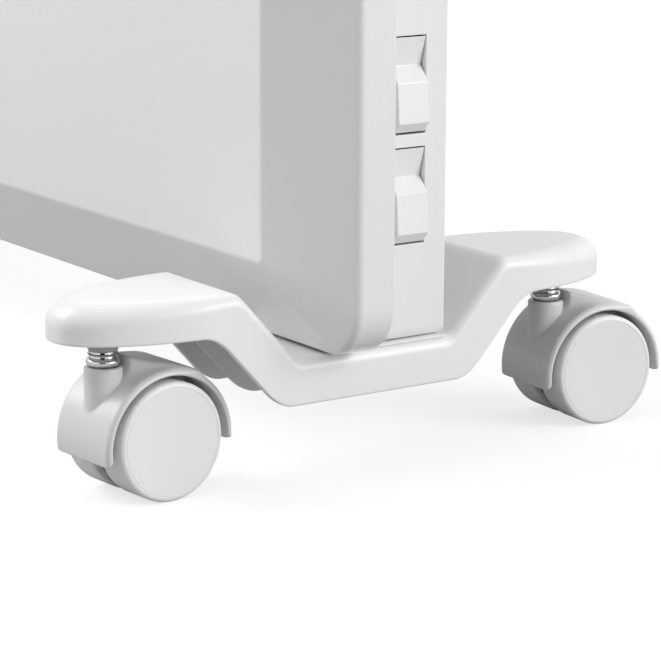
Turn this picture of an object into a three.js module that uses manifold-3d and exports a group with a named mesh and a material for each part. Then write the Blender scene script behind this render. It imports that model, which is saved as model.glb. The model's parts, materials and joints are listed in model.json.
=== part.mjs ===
// Panel convector heater standing on two moulded feet with twin-wheel castors.
// Millimetres, +Z up. The front faces -Y and the controls are on the +X side.

import * as THREE from 'three';
import { mergeVertices } from 'three/addons/utils/BufferGeometryUtils.js';
import Module from 'manifold-3d';

const wasm = await Module();
wasm.setup();

// Clearance between pieces that touch.
const gap = 0.3;

// Front panel: a steel tray with a wide bevel all round.
const panelWidth = 640;
const panelHeight = 413;
const panelSheet = 1.2;
const rimDepth = 13.8;
const bevelDepth = 18.5;
const bevelInset = 30.4;
const outlineRadius = 18;
const faceRadius = 2.5;
const rimOverlap = 14;
const lowerFlange = 12;
const upperFlange = 22;

// Housing behind the panel.
const housingDepth = 36.9;
const housingInset = 22;
const topDrop = 12;
const coverWall = 2.8;
const coverLength = 20;
const backSheet = 1.2;

// Castors.
const wheelRadius = 20;
const axleRadius = 2.5;
const axleHalf = 14;
const webHalf = 1.8;
const treadOuter = 15.35;
const wheelEdge = 1.5;
const faceDish = 0.5;
const hubRadius = 6;
const wheelRecess = 7;
const treadThickness = 2.7;
const hoodClearance = 2.85;
const hoodWall = 2.15;
const hoodHalf = 15.7;
const hoodBack = 0.45;
const hoodDrop = 1.1;
const hoodEdge = 1;
const hoodFrontAngle = 190;
const hoodRearAngle = -5;
const castorTrail = 15.4;
const bossRadius = 6.5;
const bossRise = 24;
const bossDepth = 15;
const neckRise = 4.2;
const neckHalf = 5.5;
const neckTangentAngle = 17.5;
const stemRadius = 4;
const stemInsert = 7.2;
const stemNeck = 6;
const ringRadius = 5.4;
const ringHeight = 2.8;
const socketRadius = 6;
const socketReach = 10.2;
const frontSwivelAngle = 4.4;
const rearSwivelAngle = -4.8;

// Feet.
const footInset = 44;
const footLength = 220;
const footHalf = 24;
const footWall = 2.5;
const socketLip = 4.7;
const armThickness = 13.3;
const troughDepth = 24.6;
const troughHalf = 31.6;
const baseThickness = 15.6;
const rampAngle = 48;
const taperLength = 44;
const stemSpacing = 183;
const padHeight = 0.8;
const padInset = 1.5;
const ribThickness = 2;
const footCornerRadius = 6;

// Foot screws.
const screwRadius = 1.8;
const screwHeadRadius = 4;
const screwHeadHeight = 2.6;
const screwBossRadius = 5;
const screwBossHeight = 9;
const screwSpread = 14;
const screwSink = 4;
const coverScrewInset = 16;

// Rocker switches.
const rockerWidth = 12.6;
const rockerHeight = 31.8;
const rockerPitch = 37.2;
const rockerAboveBody = 33.1;
const rockerFromPanel = 21.25;
const rockerPlay = 0.35;
const rockerSwing = 0.65;
const rockerPivot = 4.6;
const trunnionRadius = 1;
const switchWall = 1.35;
const switchDepth = 19;
const pocketDepth = 8.4;
const tabWidth = 6.3;
const tabThickness = 0.8;
const tabLength = 8;

// Thermostat and its knob.
const knobAboveRocker = 60.4;
const knobRadius = 14;
const knobDepth = 13;
const knobSkirt = 5;
const gripWidth = 5;
const spindleRadius = 3;
const spindleGrip = 8;
const thermostatSize = 27;
const thermostatDepth = 24;

// Heating element.
const bracketFromCover = 46;
const bracketSheet = 1.5;
const bracketFoot = 16;
const bracketHeight = 76;
const bracketReach = 52;
const elementHeight = 61;
const elementFromPanel = 4.5;
const rodRadius = 4.2;
const rodEnd = 14;
const wingLength = 31;
const wingThickness = 2.4;
const wingAngle = 52;
const finLength = 12;
const finThickness = 1.4;
const finCount = 2;
const holderRadius = 8;
const holderFlange = 11.5;
const holderFlangeDepth = 7;

// Smaller parts of the wiring.
const cutoutRadius = 8;
const cutoutDepth = 7;
const tiltSize = [18, 8.3, 22];
const blockSize = [22, 9, 16];
const blockFromTilt = 3;
const glandFromCover = 24;
const glandHeight = 52;
const glandBore = 3.5;
const glandNeck = 5;
const glandFlange = 8;
const wireRadius = 1.4;
const wireLead = 4;
const wireBend = 8;
const wireRise = 40;
const wireRun = 60;

// Air slots.
const slotLength = 46;
const slotWidth = 5;
const slotPitchX = 56;
const slotPitchY = 9.5;
const slotColumns = 8;
const slotRows = 3;
const backRows = 4;
const backSlotRise = 20;
const hangerX = 200;
const hangerDrop = 50;
const hangerHole = 5;
const hangerSlot = 2.6;
const hangerRise = 14;

// Facets.
const wheelSides = 24;
const roundSides = 16;
const smallSides = 10;
const cornerSteps = 4;
const wireSides = 6;

// Heights, from the floor up.
const axleHeight = wheelRadius;
const hoodY = castorTrail + hoodBack;
const hoodZ = axleHeight - hoodDrop;
const hoodTop = axleHeight + bossRise;
const socketBottom = hoodTop + stemNeck;
const armBottom = socketBottom + socketLip;
const armTop = armBottom + armThickness;
const baseTop = armTop - troughDepth;
const baseBottom = baseTop - baseThickness;
const bodyBottom = baseTop + padHeight + gap;
const bodyTop = bodyBottom + panelHeight - topDrop;

// Depths, from the middle between the castor stems towards the back.
const panelRear = -7.5;
const rimFront = panelRear - rimDepth;
const faceFront = rimFront - bevelDepth;
const coverFront = panelRear + gap;
const bodyRear = panelRear + housingDepth;
const innerRear = bodyRear - coverWall;
const backOuter = innerRear - gap;
const backInner = backOuter - backSheet;

// Widths.
const bodyHalf = panelWidth / 2 - housingInset;
const innerHalf = bodyHalf - coverWall;
const coverStart = bodyHalf - coverLength;
const coverScrewX = coverStart + coverLength / 2;
const bracketX = coverStart - bracketFromCover;
const glandX = coverStart - glandFromCover;
const tiltEnd = coverScrewX - screwHeadRadius;
const blockX = tiltEnd - tiltSize[0] - blockFromTilt - blockSize[0];
const footX = panelWidth / 2 - footInset;
const rockerY = panelRear + rockerFromPanel;
const elementY = panelRear + elementFromPanel;
const elementZ = bodyBottom + elementHeight;
const [lowerRockerZ, upperRockerZ] = rockerHeights();
const knobZ = upperRockerZ + knobAboveRocker;
const knobY = (coverFront + bodyRear) / 2;

const radians = THREE.MathUtils.degToRad;
const slope = Math.tan(radians(rampAngle));
const halfSlope = Math.tan(radians(rampAngle / 2));

const heater = new THREE.Group();

const paint = surface(0xe9eaea, 0.3, 0);
const sheetSteel = surface(0xe2e3e3, 0.4, 0);
const plastic = surface(0xeeefef, 0.35, 0);
const footPlastic = surface(0xf4f4f4, 0.35, 0);
const hoodPlastic = surface(0xdcdedd, 0.35, 0);
const wheelPlastic = surface(0xd9dbda, 0.35, 0);
const socketPlastic = surface(0xb9bbba, 0.45, 0);
const chrome = surface(0xc8c8c8, 0.1, 1);
const steel = surface(0xa9a9a7, 0.35, 1);
const aluminium = surface(0xb5b7b8, 0.45, 1);
const ceramic = surface(0xe6dfcf, 0.6, 0);
const darkPlastic = surface(0x2b2b2c, 0.5, 0);
const brownPlastic = surface(0x6b4a33, 0.5, 0);
const wireSleeve = surface(0xd8d2c4, 0.6, 0);

function surface(color, roughness, metalness) {
  return new THREE.MeshStandardMaterial({ color, roughness, metalness });
}

// A closed body with shared vertices, no empty triangles and its faces pointing out.
function closed(geometry) {
  const bare = new THREE.BufferGeometry();
  bare.setAttribute('position', geometry.getAttribute('position').clone());
  if (geometry.index) bare.setIndex(geometry.index.clone());
  const merged = mergeVertices(bare, 1e-4);
  const source = merged.index.array;
  const place = merged.getAttribute('position');
  const kept = [];
  const corner = [new THREE.Vector3(), new THREE.Vector3(), new THREE.Vector3()];
  let volume = 0;
  for (let i = 0; i < source.length; i += 3) {
    const [a, b, c] = [source[i], source[i + 1], source[i + 2]];
    if (a === b || b === c || a === c) continue;
    kept.push(a, b, c);
    corner.forEach((vertex, k) => vertex.fromBufferAttribute(place, source[i + k]));
    volume += corner[0].dot(corner[1].clone().cross(corner[2]));
  }
  if (volume < 0) kept.reverse();
  merged.setIndex(kept);
  return merged;
}

function solid(geometry) {
  const body = closed(geometry);
  const vertProperties = new Float32Array(body.getAttribute('position').array);
  const triVerts = new Uint32Array(body.index.array);
  return new wasm.Manifold(new wasm.Mesh({ numProp: 3, vertProperties, triVerts }));
}

function joined(first, ...others) {
  return others.reduce((body, other) => body.add(other), first);
}

function cut(first, ...others) {
  return others.reduce((body, other) => body.subtract(other), first);
}

function geometryOf(body) {
  const mesh = body.getMesh();
  const geometry = new THREE.BufferGeometry();
  geometry.setAttribute('position', new THREE.BufferAttribute(new Float32Array(mesh.vertProperties), 3));
  geometry.setIndex(Array.from(mesh.triVerts));
  return geometry;
}

function addPiece(parent, name, shape, material) {
  const geometry = shape instanceof THREE.BufferGeometry ? closed(shape) : geometryOf(shape);
  const mesh = new THREE.Mesh(geometry, material);
  mesh.name = name;
  parent.add(mesh);
  return mesh;
}

function block(x0, x1, y0, y1, z0, z1) {
  const geometry = new THREE.BoxGeometry(Math.abs(x1 - x0), Math.abs(y1 - y0), Math.abs(z1 - z0));
  return solid(geometry.translate((x0 + x1) / 2, (y0 + y1) / 2, (z0 + z1) / 2));
}

// Round bars from one end to the other, along each axis.
function barZ(radius, x, y, z0, z1, sides = roundSides) {
  const bar = new THREE.CylinderGeometry(radius, radius, z1 - z0, sides).rotateX(Math.PI / 2);
  return solid(bar.translate(x, y, (z0 + z1) / 2));
}

function barX(radius, x0, x1, y, z, sides = roundSides) {
  const bar = new THREE.CylinderGeometry(radius, radius, Math.abs(x1 - x0), sides).rotateZ(Math.PI / 2);
  return solid(bar.translate((x0 + x1) / 2, y, z));
}

function barY(radius, x, y0, y1, z, sides = roundSides) {
  const bar = new THREE.CylinderGeometry(radius, radius, y1 - y0, sides);
  return solid(bar.translate(x, (y0 + y1) / 2, z));
}

// Turned profiles of [radius, height] pairs, around the Z, X or Y axis.
function turned(profile, sides) {
  return new THREE.LatheGeometry(profile.map(([r, h]) => new THREE.Vector2(r, h)), sides);
}

const turnedZ = (profile, sides) => solid(turned(profile, sides).rotateX(Math.PI / 2));
const turnedX = (profile, sides) => solid(turned(profile, sides).rotateZ(-Math.PI / 2));
const turnedY = (profile, sides) => solid(turned(profile, sides));

// An outline of [u, v, radius] corners with its corners rounded.
function outline(corners) {
  const shape = new THREE.Shape();
  const count = corners.length;
  corners.forEach(([u, v, radius = 0], i) => {
    const here = new THREE.Vector2(u, v);
    const [lastU, lastV] = corners[(i + count - 1) % count];
    const [nextU, nextV] = corners[(i + 1) % count];
    const back = new THREE.Vector2(lastU, lastV).sub(here);
    const ahead = new THREE.Vector2(nextU, nextV).sub(here);
    const trim = radius / Math.tan(back.angleTo(ahead) / 2);
    const from = here.clone().add(back.setLength(trim));
    const to = here.clone().add(ahead.setLength(trim));
    if (i === 0) shape.moveTo(from.x, from.y);
    else shape.lineTo(from.x, from.y);
    if (radius > 0) shape.quadraticCurveTo(u, v, to.x, to.y);
  });
  return shape;
}

function extruded(shape, depth, curveSegments = 3) {
  return new THREE.ExtrudeGeometry(shape, { depth, curveSegments, bevelEnabled: false });
}

// Outlines drawn in (y, z) and run along X, in (x, y) along Z and in (x, z) along Y.
function prismX(corners, x0, x1) {
  const turn = new THREE.Matrix4().set(0, 0, 1, x0, 1, 0, 0, 0, 0, 1, 0, 0, 0, 0, 0, 1);
  return solid(extruded(outline(corners), x1 - x0).applyMatrix4(turn));
}

function prismZ(corners, z0, z1) {
  return solid(extruded(outline(corners), z1 - z0).translate(0, 0, z0));
}

function prismY(corners, y0, y1) {
  return solid(extruded(outline(corners), y1 - y0).rotateX(Math.PI / 2).translate(0, y1, 0));
}

// The panel's outline at one depth, drawn in from the edge.
function panelRing(inset, y, radius) {
  const halfWidth = panelWidth / 2 - inset - radius;
  const halfHeight = panelHeight / 2 - inset - radius;
  const middle = bodyBottom + panelHeight / 2;
  const ring = [];
  for (let corner = 0; corner < 4; corner += 1) {
    const sideX = corner === 0 || corner === 3 ? 1 : -1;
    const sideZ = corner < 2 ? 1 : -1;
    for (let step = 0; step <= cornerSteps; step += 1) {
      const angle = (corner + step / cornerSteps) * Math.PI / 2;
      const x = sideX * halfWidth + radius * Math.cos(angle);
      const z = middle + sideZ * halfHeight + radius * Math.sin(angle);
      ring.push(x, y, z);
    }
  }
  return ring;
}

// A solid through rings of equal count, with flat ends.
function lofted(rings) {
  const count = rings[0].length / 3;
  const index = [];
  for (let level = 0; level < rings.length - 1; level += 1) {
    for (let i = 0; i < count; i += 1) {
      const a = level * count + i;
      const b = level * count + (i + 1) % count;
      index.push(a, b, b + count, a, b + count, a + count);
    }
  }
  const last = (rings.length - 1) * count;
  for (let i = 1; i < count - 1; i += 1) {
    index.push(0, i + 1, i, last, last + i, last + i + 1);
  }
  const geometry = new THREE.BufferGeometry();
  geometry.setAttribute('position', new THREE.BufferAttribute(new Float32Array(rings.flat()), 3));
  geometry.setIndex(index);
  return solid(geometry);
}

function panelBody(sheet, rear) {
  const bevelAngle = Math.atan2(bevelInset, bevelDepth);
  const edgeShift = sheet * Math.tan(bevelAngle / 2);
  const faceShift = sheet * Math.tan((Math.PI / 2 - bevelAngle) / 2);
  return lofted([
    panelRing(sheet, rear, outlineRadius - sheet),
    panelRing(sheet, rimFront + edgeShift, outlineRadius - sheet),
    panelRing(bevelInset + faceShift, faceFront + sheet, faceRadius),
  ]);
}

function frontPanel() {
  const openHalf = bodyHalf - rimOverlap;
  const openBottom = bodyBottom + lowerFlange;
  const openTop = bodyTop + topDrop - upperFlange;
  const mouth = block(-openHalf, openHalf, rimFront, panelRear + gap, openBottom, openTop);
  return cut(panelBody(0, panelRear), panelBody(panelSheet, panelRear - panelSheet), mouth);
}

function screwSocket(x, side) {
  const z = bodyBottom + coverWall + screwBossHeight;
  return side === 'post'
    ? barZ(screwBossRadius - 0.5, x, knobY, bodyBottom + coverWall / 2, z, smallSides)
    : barZ(screwRadius + gap, x, knobY, bodyBottom - gap, z + gap, smallSides);
}

// A plastic cap that closes one end of the housing, open towards the middle.
function sideCover(side) {
  const shell = block(side * coverStart, side * bodyHalf, coverFront, bodyRear, bodyBottom, bodyTop);
  const room = block(
    side * (coverStart - gap), side * innerHalf,
    coverFront + coverWall, innerRear,
    bodyBottom + coverWall, bodyTop - coverWall,
  );
  const screwX = side * (footX + screwSpread);
  const cover = cut(joined(shell.subtract(room), screwSocket(screwX, 'post')), screwSocket(screwX, 'hole'));
  return cut(cover, ...coverScrewHeights().map((z) => (
    barY(screwRadius + gap, side * coverScrewX, innerRear - gap, bodyRear + gap, z, smallSides)
  )));
}

function coverScrewHeights() {
  return [bodyBottom + coverScrewInset, bodyTop - coverScrewInset];
}

function rockerHeights() {
  const lower = bodyBottom + rockerAboveBody + rockerHeight / 2;
  return [lower, lower + rockerPitch];
}

function rockerWindow(z) {
  const halfY = rockerWidth / 2 + rockerPlay;
  const low = z - rockerHeight / 2 - rockerSwing;
  const high = z + rockerHeight / 2 + rockerPlay;
  return block(innerHalf - gap, bodyHalf + gap, rockerY - halfY, rockerY + halfY, low, high);
}

function rightCover() {
  const spindleHole = barX(spindleRadius + gap, innerHalf - gap, bodyHalf + gap, knobY, knobZ, roundSides);
  return cut(sideCover(1), spindleHole, rockerWindow(lowerRockerZ), rockerWindow(upperRockerZ));
}

// Centres of slots in rows and columns about a middle point.
function slotCentres(columns, rows, middleV, pitchV) {
  const centres = [];
  for (let row = 0; row < rows; row += 1) {
    for (let column = 0; column < columns; column += 1) {
      const u = (column - (columns - 1) / 2) * slotPitchX;
      centres.push([u, middleV + (row - (rows - 1) / 2) * pitchV]);
    }
  }
  return centres;
}

// A slotted strip between the side covers, at the top or the bottom of the housing.
function slottedStrip(z0) {
  const half = coverStart - gap;
  const strip = block(-half, half, coverFront, bodyRear, z0, z0 + coverWall);
  const centres = slotCentres(slotColumns, slotRows, (coverFront + innerRear) / 2, slotPitchY);
  return cut(strip, ...centres.map(([x, y]) => block(
    x - slotLength / 2, x + slotLength / 2, y - slotWidth / 2, y + slotWidth / 2, z0 - gap, z0 + coverWall + gap,
  )));
}

function bottomGrille() {
  const screwX = footX - screwSpread;
  const strip = joined(slottedStrip(bodyBottom), screwSocket(screwX, 'post'), screwSocket(-screwX, 'post'));
  return cut(strip, screwSocket(screwX, 'hole'), screwSocket(-screwX, 'hole'));
}

// A round hole with a narrow slot above it, which a screw head passes and then locks in.
function hangerOpening(x) {
  const z = bodyTop - hangerDrop;
  const slot = block(x - hangerSlot, x + hangerSlot, backInner - gap, backOuter + gap, z, z + hangerRise);
  return joined(barY(hangerHole, x, backInner - gap, backOuter + gap, z, smallSides), slot);
}

function backPanel() {
  const half = bodyHalf - coverWall - gap;
  const low = bodyBottom + coverWall + gap;
  const high = bodyTop - coverWall - gap;
  const slotMiddle = low + backSlotRise + (backRows - 1) * slotPitchY / 2;
  const plate = block(-half, half, backInner, backOuter, low, high);
  const slots = slotCentres(slotColumns, backRows, slotMiddle, slotPitchY).map(([x, z]) => block(
    x - slotLength / 2, x + slotLength / 2, backInner - gap, backOuter + gap, z - slotWidth / 2, z + slotWidth / 2,
  ));
  const holes = [hangerOpening(-hangerX), hangerOpening(hangerX)];
  holes.push(barY(glandNeck + gap, glandX, backInner - gap, backOuter + gap, glandZ(), roundSides));
  for (const z of coverScrewHeights()) {
    for (const side of [-1, 1]) {
      const x = side * coverScrewX;
      holes.push(barY(screwRadius + gap, x, backInner - gap, backOuter + gap, z, smallSides));
    }
  }
  return cut(plate, ...slots, ...holes);
}

function glandZ() {
  return bodyBottom + glandHeight;
}

function cableGland() {
  const front = backOuter + gap;
  return turnedY([
    [glandBore, backInner - glandFlange],
    [glandNeck, backInner - glandFlange],
    [glandNeck, front],
    [glandFlange, front],
    [glandFlange, front + 2],
    [glandNeck + 0.6, front + glandNeck],
    [glandBore, front + glandNeck],
    [glandBore, backInner - glandFlange],
  ], roundSides).translate([glandX, 0, glandZ()]);
}

// A round-headed screw pointing up from its head.
function screwBody(shank) {
  return turnedZ([
    [0, 0],
    [screwHeadRadius * 0.7, 0],
    [screwHeadRadius, screwHeadHeight * 0.5],
    [screwHeadRadius, screwHeadHeight],
    [screwRadius, screwHeadHeight],
    [screwRadius, screwHeadHeight + shank],
    [0, screwHeadHeight + shank],
  ], smallSides);
}

// The foot's upper surface, sunk by an inset measured square to it.
function troughLine(inset, reach) {
  const baseY = troughHalf + inset * halfSlope;
  const armY = baseY + troughDepth / slope;
  return [[reach, armTop - inset], [armY, armTop - inset, 3], [baseY, baseTop - inset, 3]];
}

function mirrored(points) {
  return points.map(([y, z, radius]) => [-y, z, radius]).reverse();
}

function footProfile() {
  const lowY = troughHalf + baseThickness * halfSlope;
  const highY = lowY + (armBottom - baseBottom) / slope;
  const top = troughLine(0, footLength / 2);
  const under = [[lowY, baseBottom, footCornerRadius], [highY, armBottom, 4], [footLength / 2, armBottom]];
  return [...top, ...mirrored(top), ...mirrored(under), ...under];
}

function footCavity() {
  const top = troughLine(footWall, footLength / 2);
  const floor = baseBottom - footWall;
  return [...top, ...mirrored(top), [-footLength / 2, floor], [footLength / 2, floor]];
}

// Half the foot's width along its length: straight, then tapering to a round end.
function footWidth(y, inset) {
  const straight = footLength / 2 - taperLength;
  const along = Math.min(1, Math.max(0, (Math.abs(y) - straight) / (taperLength - inset)));
  return (footHalf - inset) * (1 - along ** 1.6) ** (1 / 2.4);
}

function footPlan(inset) {
  const straight = footLength / 2 - taperLength;
  const reach = footLength / 2 - inset;
  const steps = 7;
  const side = [];
  for (let i = 0; i <= steps; i += 1) {
    const y = straight + (reach - straight) * Math.sin((i / steps) * Math.PI / 2);
    side.push([footWidth(y, inset), y]);
  }
  const flipped = side.slice(0, -1).reverse().map(([x, y]) => [-x, y]);
  const rear = [...side, ...flipped];
  return [...rear, ...rear.map(([x, y]) => [-x, -y])];
}

function footBody() {
  const plan = prismZ(footPlan(0), baseBottom, armTop);
  const shell = prismX(footProfile(), -footHalf, footHalf).intersect(plan);
  const room = prismX(footCavity(), -footHalf, footHalf);
  const hollow = room.intersect(prismZ(footPlan(footWall), baseBottom - footWall, armTop));
  const rib = block(-ribThickness / 2, ribThickness / 2, -footLength / 2, footLength / 2, baseBottom, armTop);
  const posts = [];
  const bores = [];
  for (const side of [-1, 1]) {
    const stemY = side * stemSpacing / 2;
    posts.push(barZ(socketRadius + gap + footWall, 0, stemY, armBottom, armTop - footWall / 2));
    bores.push(barZ(socketRadius + gap, 0, stemY, armBottom - gap, socketTop() + gap));
    const screwX = side * screwSpread;
    posts.push(barZ(screwBossRadius, screwX, knobY, baseBottom + screwSink, baseTop - 1, smallSides));
    bores.push(barZ(screwRadius + gap, screwX, knobY, baseBottom, bodyBottom + gap, smallSides));
  }
  const filling = joined(rib, ...posts).intersect(shell);
  const padHalf = footHalf - padInset;
  const pad = block(-padHalf, padHalf, panelRear, bodyRear, baseTop - 1, baseTop + padHeight);
  return cut(joined(shell.subtract(hollow), filling, pad), ...bores);
}

function socketTop() {
  return armBottom + socketReach;
}

function castorSocket() {
  return turnedZ([
    [stemRadius + gap, socketBottom],
    [socketRadius, socketBottom],
    [socketRadius, socketTop()],
    [stemRadius + gap, socketTop()],
    [stemRadius + gap, socketBottom],
  ], roundSides);
}

// The steel stem, with the plated ring that shows between the hood and the foot.
function castorStem() {
  const foot = hoodTop - stemInsert;
  const low = hoodTop + gap;
  const high = socketBottom - gap;
  const waist = (stemRadius + ringRadius) / 2;
  return turnedZ([
    [0, foot],
    [stemRadius, foot],
    [stemRadius, low],
    [waist, low],
    [ringRadius, low + ringHeight * 0.3],
    [ringRadius, low + ringHeight * 0.7],
    [waist, low + ringHeight],
    [waist, high],
    [stemRadius, high],
    [stemRadius, socketTop() - gap],
    [0, socketTop() - gap],
  ], roundSides);
}

function hoodInner() {
  return wheelRadius + hoodClearance;
}

// The barrel that the wheel bays are cut from.
function hoodBarrel() {
  const outer = hoodInner() + hoodWall;
  const half = [
    [outer, hoodHalf - hoodEdge],
    [outer - hoodEdge, hoodHalf],
    [0, hoodHalf],
  ];
  const other = half.map(([r, x]) => [r, -x]).reverse();
  return turnedX([...other, ...half], wheelSides).translate([0, hoodY, hoodZ]);
}

function lipPoint(angle, radius) {
  return [hoodY + radius * Math.cos(radians(180 - angle)), hoodZ + radius * Math.sin(radians(angle))];
}

function hoodMouth() {
  const reach = hoodInner() + hoodWall * 2;
  const below = axleHeight - hubRadius;
  return prismX([
    [hoodY - reach, lipPoint(hoodFrontAngle, reach)[1]],
    [castorTrail - hubRadius, below, 2],
    [castorTrail + hubRadius, below, 2],
    [hoodY + reach, lipPoint(hoodRearAngle, reach)[1]],
    [hoodY + reach, axleHeight - reach],
    [hoodY - reach, axleHeight - reach],
  ], -hoodHalf - gap, hoodHalf + gap);
}

// The upright boss for the stem and the neck that rises behind it and runs back.
function hoodBoss() {
  const boss = barZ(bossRadius, 0, 0, hoodTop - bossDepth, hoodTop);
  const outer = hoodInner() + hoodWall;
  const leaving = radians(neckTangentAngle);
  const front = ringRadius + 2 * gap;
  const neck = prismX([
    [front, hoodTop - bossDepth / 2],
    [hoodY, hoodZ + hoodInner()],
    [hoodY + outer * Math.sin(leaving), hoodZ + outer * Math.cos(leaving) - gap],
    [front, hoodTop + neckRise],
  ], -neckHalf, neckHalf);
  return boss.add(neck);
}

function castorHood() {
  const bays = [-1, 1].map((side) => (
    barX(hoodInner(), side * webHalf, side * (hoodHalf + gap), hoodY, hoodZ, wheelSides)
  ));
  const bore = barZ(stemRadius + gap, 0, 0, hoodTop - stemInsert - gap, hoodTop + gap);
  const axleHole = barX(axleRadius + gap, -webHalf - gap, webHalf + gap, castorTrail, axleHeight);
  return cut(joined(hoodBarrel(), hoodBoss()), ...bays, hoodMouth(), bore, axleHole);
}

function castorAxle() {
  return barX(axleRadius, -axleHalf, axleHalf, castorTrail, axleHeight, smallSides);
}

// One wheel, open towards the web, with a blind bore and a slightly dished face.
function castorWheel(side) {
  const start = webHalf + gap;
  const face = treadOuter + wheelEdge;
  const profile = [
    [0, axleHalf + gap],
    [axleRadius + gap, axleHalf + gap],
    [axleRadius + gap, start],
    [hubRadius, start],
    [hubRadius, start + wheelRecess],
    [wheelRadius - treadThickness, start + wheelRecess],
    [wheelRadius - treadThickness, start],
    [wheelRadius, start],
    [wheelRadius, treadOuter],
    [wheelRadius - wheelEdge, face],
    [0, face - faceDish],
  ].map(([r, x]) => [r, side * x]);
  return turnedX(profile, wheelSides).translate([0, castorTrail, axleHeight]);
}

function addCastor(name, x, y, swivel) {
  const castor = new THREE.Group();
  castor.position.set(x, y, 0);
  castor.rotation.z = radians(swivel);
  heater.add(castor);
  addPiece(castor, `socket_${name}`, castorSocket(), socketPlastic);
  addPiece(castor, `stem_${name}`, castorStem(), chrome);
  addPiece(castor, `hood_${name}`, castorHood(), hoodPlastic);
  addPiece(castor, `axle_${name}`, castorAxle(), steel);
  addPiece(castor, `wheel_a_${name}`, castorWheel(1), wheelPlastic);
  addPiece(castor, `wheel_b_${name}`, castorWheel(-1), wheelPlastic);
}

function addFoot(name, side) {
  const x = side * footX;
  addPiece(heater, `foot_${name}`, footBody(), footPlastic).position.x = x;
  const headBottom = baseBottom + screwSink - gap - screwHeadHeight;
  const shank = bodyBottom + coverWall + screwBossHeight - headBottom - screwHeadHeight - 1;
  for (const [label, place] of [['outer', side], ['inner', -side]]) {
    const screw = addPiece(heater, `foot_screw_${name}_${label}`, screwBody(shank), steel);
    screw.position.set(x + place * screwSpread, knobY, headBottom);
  }
  addCastor(`front_${name}`, x, -stemSpacing / 2, frontSwivelAngle);
  addCastor(`rear_${name}`, x, stemSpacing / 2, rearSwivelAngle);
}

function addCoverScrews() {
  for (const [name, side] of [['left', -1], ['right', 1]]) {
    for (const [label, z] of [['low', coverScrewHeights()[0]], ['high', coverScrewHeights()[1]]]) {
      const shape = screwBody(coverWall + backSheet + 4).rotate([90, 0, 0]);
      const screw = addPiece(heater, `cover_screw_${name}_${label}`, shape, steel);
      screw.position.set(side * coverScrewX, bodyRear + gap + screwHeadHeight, z);
    }
  }
}

// The rocker's section: recessed upper half, proud lower half, rounded back.
function rockerBody() {
  const half = rockerHeight / 2;
  const section = [
    [0, half],
    [-2.5, half - 9.7],
    [2, half - 15],
    [3, half - 28.5],
    [0, -half],
    [-rockerPivot, -half + 1.6],
    [-rockerPivot - 3, -4],
    [-rockerPivot - 3, 4],
    [-rockerPivot, half - 1.6],
  ];
  const reach = rockerWidth / 2 + rockerPlay + switchWall * 0.7;
  const trunnion = barY(trunnionRadius, -rockerPivot, -reach, reach, 0, smallSides);
  return prismY(section, -rockerWidth / 2, rockerWidth / 2).add(trunnion);
}

function switchBody() {
  const pocketY = rockerWidth / 2 + rockerPlay;
  const pocketZ = rockerHeight / 2 + rockerSwing + gap;
  const front = -coverWall - gap;
  const [halfY, halfZ] = [pocketY + switchWall, pocketZ + switchWall];
  const case_ = block(front - switchDepth, front, -halfY, halfY, -halfZ, halfZ);
  const pocket = block(front - pocketDepth, front + gap, -pocketY, pocketY, -pocketZ, pocketZ);
  const pivot = barY(trunnionRadius + gap, -rockerPivot, -halfY - gap, halfY + gap, 0, smallSides);
  const tabs = [-1, 0, 1].map((step) => {
    const z = step * halfZ * 0.6;
    const back = front - switchDepth;
    return block(back - tabLength, back + 1, -tabWidth / 2, tabWidth / 2, z - tabThickness / 2, z + tabThickness / 2);
  });
  return cut(joined(case_, ...tabs), pocket, pivot);
}

function addSwitches() {
  [lowerRockerZ, upperRockerZ].forEach((z, i) => {
    const name = ['lower', 'upper'][i];
    addPiece(heater, `switch_body_${name}`, switchBody(), darkPlastic).position.set(bodyHalf, rockerY, z);
    addPiece(heater, `rocker_${name}`, rockerBody(), plastic).position.set(bodyHalf, rockerY, z);
  });
}

function knobBody() {
  const start = bodyHalf + gap;
  const end = start + knobDepth;
  const skirt = turnedX([
    [0, start],
    [knobRadius, start],
    [knobRadius, start + knobSkirt - 1.5],
    [knobRadius - 1.5, start + knobSkirt],
    [0, start + knobSkirt],
  ], wheelSides);
  const reach = knobRadius - 2;
  const grip = block(start + 1, end, -gripWidth / 2, gripWidth / 2, -reach, reach);
  const bore = barX(spindleRadius + gap, start - gap, start + spindleGrip, 0, 0);
  return cut(joined(skirt, grip), bore);
}

function addThermostat() {
  const back = innerHalf - gap;
  const half = thermostatSize / 2;
  const well = back - spindleGrip;
  const body = block(back - thermostatDepth, back, -half, half, -half, half);
  const hole = barX(spindleRadius + gap, well, back + gap, 0, 0);
  const spindle = barX(spindleRadius, well + gap, bodyHalf + spindleGrip, 0, 0);
  addPiece(heater, 'thermostat_body', cut(body, hole), darkPlastic).position.set(0, knobY, knobZ);
  addPiece(heater, 'thermostat_spindle', spindle, steel).position.set(0, knobY, knobZ);
  addPiece(heater, 'thermostat_knob', knobBody(), plastic).position.set(0, knobY, knobZ);
}

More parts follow.
